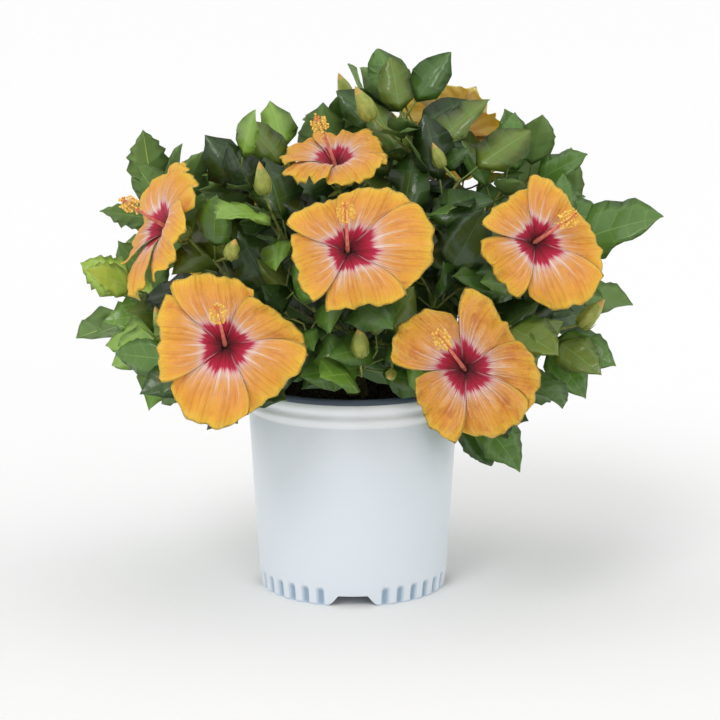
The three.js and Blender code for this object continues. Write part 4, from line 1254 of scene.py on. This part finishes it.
def run_geometry(tree, base, name, values):
    """Runs a tree on an object, and returns its result as a plain mesh object."""
    modifier = base.modifiers.new("grow", "NODES")
    modifier.node_group = tree
    for item in tree.interface.items_tree:
        if item.in_out == "INPUT" and item.name in values:
            modifier[item.identifier] = values[item.name]
    bpy.context.view_layer.update()
    seen = base.evaluated_get(bpy.context.evaluated_depsgraph_get())
    mesh = bpy.data.meshes.new_from_object(seen)
    mesh.name = name
    base.modifiers.remove(modifier)
    bpy.data.objects.remove(base)
    made = bpy.data.objects.new(name, mesh)
    bpy.context.scene.collection.objects.link(made)
    return made


def plain_object(piece):
    """A piece's bare mesh as an object, for a tree to run on or for the stage."""
    mesh = bpy.data.meshes.new(piece.name)
    mesh.from_pydata((np.vstack(piece.vertices) * MM).tolist(), [], piece.faces)
    made = bpy.data.objects.new(piece.name, mesh)
    bpy.context.scene.collection.objects.link(made)
    return made


THREAD_RADIUS = 0.16
SCATTER_INPUTS = {"Grains per square metre": "NodeSocketFloat", "Grain radius": "NodeSocketFloat",
                  "Thread length": "NodeSocketFloat", "Seed": "NodeSocketInt"}
# Their values for the anthers and for the crumbs, in metres
ANTHER_SIZES = {"Grains per square metre": 880000.0, "Grain radius": 0.0010,
                "Thread length": 0.0046, "Seed": 5}
CRUMB_SIZES = {"Grains per square metre": 26000.0, "Grain radius": 0.0017,
               "Thread length": 0.0004, "Seed": 11}


def scatter_tree(name, material):
    """Scatters round grains over a surface, each on a thread that stands on it."""
    tree, given, result = geometry_tree(name, SCATTER_INPUTS)
    density, radius, length, seed = [given.outputs[label] for label in SCATTER_INPUTS]
    spots = add_node(tree, "GeometryNodeDistributePointsOnFaces", {
        "Mesh": given.outputs["Geometry"], "Density": density, "Seed": seed})
    grain = add_node(tree, "GeometryNodeMeshIcoSphere", {"Radius": radius, "Subdivisions": 1})
    thread = add_node(tree, "GeometryNodeMeshCylinder", {
        "Vertices": 4, "Radius": THREAD_RADIUS * MM, "Depth": length})
    middle = add_node(tree, "ShaderNodeMath", {0: length, 1: 0.5}, operation="MULTIPLY")
    low = add_node(tree, "ShaderNodeCombineXYZ", {"Z": middle.outputs[0]})
    high = add_node(tree, "ShaderNodeCombineXYZ", {"Z": length})
    stood = add_node(tree, "GeometryNodeTransform", {
        "Geometry": thread.outputs["Mesh"], "Translation": low.outputs[0]})
    topped = add_node(tree, "GeometryNodeTransform", {
        "Geometry": grain.outputs["Mesh"], "Translation": high.outputs[0]})
    whole = add_node(tree, "GeometryNodeJoinGeometry", {"Geometry": stood.outputs["Geometry"]})
    tree.links.new(topped.outputs["Geometry"], whole.inputs["Geometry"])
    size = add_node(tree, "FunctionNodeRandomValue", {2: 0.7, 3: 1.3, "Seed": seed},
                    data_type="FLOAT")
    placed = add_node(tree, "GeometryNodeInstanceOnPoints", {
        "Points": spots.outputs["Points"], "Instance": whole.outputs["Geometry"],
        "Rotation": spots.outputs["Rotation"], "Scale": size.outputs[1]})
    real = add_node(tree, "GeometryNodeRealizeInstances", {
        "Geometry": placed.outputs["Instances"]})
    dressed = add_node(tree, "GeometryNodeSetMaterial", {
        "Geometry": real.outputs["Geometry"], "Material": material})
    tree.links.new(dressed.outputs["Geometry"], result.inputs[0])
    return tree


columns.make("petals", [])
greens.make("petals", [])
anthers = run_geometry(scatter_tree("anther_scatter", POLLEN_YELLOW), plain_object(sleeves),
                       "anthers", ANTHER_SIZES)
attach(anthers, "root")


# Buds

BUD_ROWS, BUD_SIDES = 14, 20
BUD_WIDTH_SHARE = 0.46
BUD_FOLDS = 5
BUD_TWIST = 1.3
BUD_TIP_SHARE = 0.72


def bud_point(s, a):
    """For a bud of unit length, its radius at s along it, and the factor on that at the angle a,
    by the petals that are folded round it in a slow twist."""
    half = BUD_WIDTH_SHARE / 2 * math.sin(math.pi * min(1, 0.06 + 0.94 * s) ** 0.62) ** 0.85
    fold = abs(math.sin(BUD_FOLDS / 2 * (a + BUD_TWIST * s))) - 0.5
    return half, 1 + 0.26 * fold * math.sin(math.pi * s)


def add_bud(piece, start, tip, length):
    """A bud that stands on its stalk, with a ring of narrow lobes at its foot."""
    along = unit(unit(tip - start) + UP * 0.5)
    foot = tip - along * length
    stalk = Line(start, foot + along * 3, start + (foot - start) * 0.6)
    tube(piece, stalk, [1.3, 1.2, 1.2, 1.3], 6, CALYX_GREEN)
    across = square_to(np.array([1.0, 0.2, 0.0]), along)
    third = np.cross(along, across)
    rows, sides = BUD_ROWS, BUD_SIDES
    vertices = []
    for j in range(rows + 1):
        for k in range(sides):
            a = 2 * math.pi * k / sides
            half, ridge = bud_point(j / rows, a)
            around = math.cos(a) * across + math.sin(a) * third
            middle = foot + along * length * j / rows
            vertices.append(middle + (length * half + 0.15) * ridge * around)
    faces = ring_faces(rows + 1, sides)
    kinds = [BUD_TIP if j > rows * BUD_TIP_SHARE else BUD_GREEN
             for j in range(rows) for k in range(sides)]
    faces += [tuple(reversed(range(sides))), tuple(rows * sides + k for k in range(sides))]
    piece.add(vertices, faces, kinds + [BUD_GREEN, BUD_TIP])
    for k in range(EPICALYX_LOBES):
        around = rotate(across, along, 2 * math.pi * k / EPICALYX_LOBES + 0.3)
        root = foot + around * length * 0.08
        lobe_tip = root + along * length * 0.34 + around * length * 0.2
        add_lobe(piece, root, lobe_tip, root + around * length * 0.18)


buds = Piece("flower_buds")
for mass in PLANS:
    for shoot, x, y, z, length in mass["buds"]:
        add_bud(buds, mass["lines"][shoot].on_twig(0.97), np.array([x, y, z], float), length)
buds.make("leaves", [])


# The pot and its soil

POT_STEPS = 540
# The height over which the wall widens evenly, and where the band starts
WALL_SLOPE_HEIGHT = 141
BAND_FOOT = 168
FLUTE_DEPTH = 3.4
FLUTE_TOP = 17
FLUTES = 36
FLUTE_FREE_ANGLE = 16
# The first point of the profile that the grooves press in, and how deep a groove has to be before
# its painted shade starts
FIRST_FLUTED = 4
PAINTED_SHADE_FROM = 0.15


def from_notch(angle):
    """Degrees from the nearest of the four notches, one of which faces each way."""
    return abs((angle + 45) % 90 - 45)


def notch_lift(angle):
    """How far the foot is cut away at an angle in degrees, by notches with rounded feet."""
    foot = NOTCH_FOOT_ANGLE + 0.8
    rise = (foot - from_notch(angle)) / (foot - NOTCH_TOP_ANGLE)
    return NOTCH_HEIGHT * min(1, max(0, rise)) ** 1.4


def flute(angle, z):
    """How deep the wall is pressed in by upright grooves near the foot, away from the notches."""
    if from_notch(angle) < FLUTE_FREE_ANGLE or z >= FLUTE_TOP:
        return 0
    top = min(1, max(0, (FLUTE_TOP - z) / 5)) ** 0.5 * min(1, z / 3 + 0.3)
    groove = max(0, math.cos(math.radians(angle * FLUTES)) * 0.85 + 0.15)
    return FLUTE_DEPTH * top * groove ** 0.8


def pot_profile():
    """The section from the inside of the foot, up the wall and over the lip, down to the soil, as
    the white part and the dark part."""
    foot, rim = FOOT_RADIUS, RIM_RADIUS
    slope = (rim - 2.8 - foot - 2.4) / WALL_SLOPE_HEIGHT
    ring = [(foot - FOOT_LIP, FLOOR_UNDERSIDE), (foot - FOOT_LIP, 4), (foot - FOOT_LIP, 0.4),
            (foot - FOOT_LIP + 0.5, 0), (foot - 1.2, 0), (foot - 0.4, 0.5), (foot, 2)]
    fluted = [(foot + 0.2, 4), (foot + 0.45, 6.5), (foot + 0.7, 9), (foot + 0.9, 11),
              (foot + 1.1, 12.8), (foot + 1.25, 14.2), (foot + 1.4, 15.4), (foot + 1.5, 16.4),
              (foot + 1.6, 17.5), (foot + 1.95, 22)]
    wall = [(foot + 2.4 + slope * (z - 30), z) for z in (30, 60, 100, 140, 165)]
    band = [(rim - 3.4, 169), (rim - 3.2, 171), (rim - 2.2, 173), (rim - 1.3, 175),
            (rim - 1.3, 177.6), (rim - 2.5, 179.2), (rim - 3.2, 181), (rim - 3.0, 182.4),
            (rim - 1.2, 184), (rim - 0.2, 185.6), (rim, 187.6), (rim - 0.2, 189.4),
            (rim - 0.8, 190.8), (rim - 1.1, 191.2)]
    lip = [(rim - 0.9, 191.4), (rim - 0.5, 192.2), (rim - 0.5, 195.4), (rim - 1.2, 196.7),
           (rim - 2.4, POT_HEIGHT), (rim - 3.8, 196.8), (rim - 4.4, 195.6), (rim - 4.6, 188),
           (rim - 4.8, SOIL_TOP - 4)]
    return ring + fluted + wall + band, lip


def pot_material(n, last_white, z, pressed):
    """The plastic between two points of the profile: slate on the lip and inside, painted shade in the
    deeper grooves and along the foot's bottom edge, and painted light on the band, a clearer white."""
    if n >= last_white:
        return POT_LIP
    # Painted shade: the deeper a groove, the bluer and darker
    if pressed > PAINTED_SHADE_FROM:
        return POT_PAINTED_SHADE[min(2, int((pressed - PAINTED_SHADE_FROM) * 3.6))]
    # Painted shade along the bottom edge of the foot
    if n >= FIRST_FLUTED and z < 3:
        return POT_PAINTED_SHADE[0]
    # Painted light on the band
    return POT_BAND_PAINTED_LIGHT if z > BAND_FOOT else POT_WHITE


def make_pot():
    """The pot turned from its profile, with notches in its foot and grooves round it."""
    white, dark = pot_profile()
    profile = white + dark
    count = len(profile)
    fluted = range(FIRST_FLUTED, len(white))
    piece = Piece("nursery_pot")
    vertices, faces, kinds = [], [], []
    for k in range(POT_STEPS):
        degrees = 360 * k / POT_STEPS
        a = math.radians(degrees)
        for n, (r, z) in enumerate(profile):
            z = max(z, notch_lift(degrees))
            r -= flute(degrees, z) if n in fluted else 0
            vertices.append((math.cos(a) * r, math.sin(a) * r, z))
    for k in range(POT_STEPS):
        after = (k + 1) % POT_STEPS
        for n in range(count - 1):
            faces.append((k * count + n, after * count + n, after * count + n + 1,
                          k * count + n + 1))
            z = (profile[n][1] + profile[n + 1][1]) / 2
            pressed = flute(360 * (k + 0.5) / POT_STEPS, z) / FLUTE_DEPTH if n in fluted else 0
            kinds.append(pot_material(n, len(white) - 1, z, pressed))
    vertices.append((0, 0, FLOOR_UNDERSIDE))
    faces += [(len(vertices) - 1, ((k + 1) % POT_STEPS) * count, k * count)
              for k in range(POT_STEPS)]
    kinds += [POT_WHITE] * POT_STEPS
    piece.add(vertices, faces, kinds)
    made = piece.make("pot", ["pot"])
    for polygon in made.data.polygons:
        polygon.use_smooth = polygon.center[2] > 0.5 * MM
    made.data.set_sharp_from_angle(angle=math.radians(38))


make_pot()


SOIL_RINGS, SOIL_SIDES = 24, 72


def soil_height(r, a):
    """The bed is a little uneven, and it rises round the stem."""
    uneven = 0.9 * math.sin(0.11 * r * math.cos(a) + 1.3) + 0.8 * math.sin(0.13 * r * math.sin(a))
    return SOIL_TOP + uneven - 1.2 + 2.0 * math.exp(-((r - 8) / 14) ** 2)


def make_soil():
    """The bed down to its underside, and loose crumbs of bark on its top."""
    rings, sides = SOIL_RINGS, SOIL_SIDES
    angles = [2 * math.pi * k / sides for k in range(sides)]
    top = [(0, 0, soil_height(0, 0))]
    for j in range(1, rings + 1):
        r = (RIM_RADIUS - 5.1) * j / rings
        for k, a in enumerate(angles):
            rough = swing(j * 1.3, k, 0.7)
            top.append((r * math.cos(a), r * math.sin(a), soil_height(r, a) + rough))
    low_radius = FOOT_RADIUS - 4
    underside = [(low_radius * math.cos(a), low_radius * math.sin(a), 16) for a in angles]
    faces = [(0, 1 + k, 1 + (k + 1) % sides) for k in range(sides)]
    for j in range(rings):
        low, high = 1 + j * sides, 1 + (j + 1) * sides
        faces += [(low + k, high + k, high + (k + 1) % sides, low + (k + 1) % sides)
                  for k in range(sides)]
    faces.append(tuple(1 + rings * sides + k for k in reversed(range(sides))))
    piece = Piece("potting_mix_bed")
    piece.add(top + underside, faces, SOIL)
    piece.make("potting_mix", ["potting_mix"])
    ground = Piece("crumb_ground")
    ground.add(top, faces[:rings * sides], SOIL)
    crumbs = run_geometry(scatter_tree("crumb_scatter", SOIL), plain_object(ground),
                          "bark_crumbs", CRUMB_SIZES)
    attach(crumbs, "root")


make_soil()


# Floor, light and camera

FLOOR_REACH = 60000
scene = bpy.context.scene


def make_floor():
    """A matt pale floor that reaches past the camera's view."""
    white = make_material("studio_paper", "#fafafa", 0.9)
    floor = Piece("studio_floor")
    corners = [(-FLOOR_REACH, -FLOOR_REACH, 0), (FLOOR_REACH, -FLOOR_REACH, 0),
               (FLOOR_REACH, FLOOR_REACH, 0), (-FLOOR_REACH, FLOOR_REACH, 0)]
    floor.add(corners, [(0, 1, 2, 3)], white)
    ground = plain_object(floor)
    ground.data.materials.append(white)


def make_air():
    """White air that is brighter overhead and to both sides, as between wide soft boxes."""
    scene.world = bpy.data.worlds.new("studio_air")
    scene.world.use_nodes = True
    air = scene.world.node_tree
    direction = add_node(air, "ShaderNodeTexCoord")
    way = add_node(air, "ShaderNodeSeparateXYZ", {"Vector": direction.outputs["Generated"]})
    overhead = add_node(air, "ShaderNodeMapRange", {
        "Value": way.outputs["Z"], "From Min": 0.0, "From Max": 1.0,
        "To Min": AIR_STRENGTH_LOW, "To Max": AIR_STRENGTH_HIGH})
    squared = add_node(air, "ShaderNodeMath", {0: way.outputs["X"], 1: way.outputs["X"]},
                       operation="MULTIPLY")
    strength = add_node(air, "ShaderNodeMath", {
        0: squared.outputs[0], 1: AIR_STRENGTH_SIDES, 2: overhead.outputs["Result"]},
        operation="MULTIPLY_ADD")
    background = air.nodes["Background"]
    background.inputs["Color"].default_value = (1, 1, 1, 1)
    air.links.new(strength.outputs[0], background.inputs["Strength"])


def make_lamps():
    """One broad key light from the upper left of the camera, and a weak fill from its right."""
    for name, (energy, angle, way) in LAMPS.items():
        light = bpy.data.lights.new(name, "SUN")
        light.energy, light.angle = energy, math.radians(angle)
        lamp = bpy.data.objects.new(name, light)
        lamp.rotation_euler = Vector(way).to_track_quat("-Z", "Y").to_euler()
        scene.collection.objects.link(lamp)


def make_camera():
    """The camera at the photograph's viewing angle."""
    camera = bpy.data.cameras.new("photo_camera")
    camera.sensor_width = SENSOR_WIDTH
    camera.lens = FOCAL_LENGTH_PIXELS / IMAGE_PIXELS * SENSOR_WIDTH
    eye = bpy.data.objects.new("photo_camera", camera)
    eye.location = [place * MM for place in CAMERA_AT]
    eye.rotation_euler = (math.radians(90 + CAMERA_TILT), 0, 0)
    scene.collection.objects.link(eye)
    scene.camera = eye
    scene.view_settings.view_transform = "Standard"


make_floor()
make_air()
make_lamps()
make_camera()
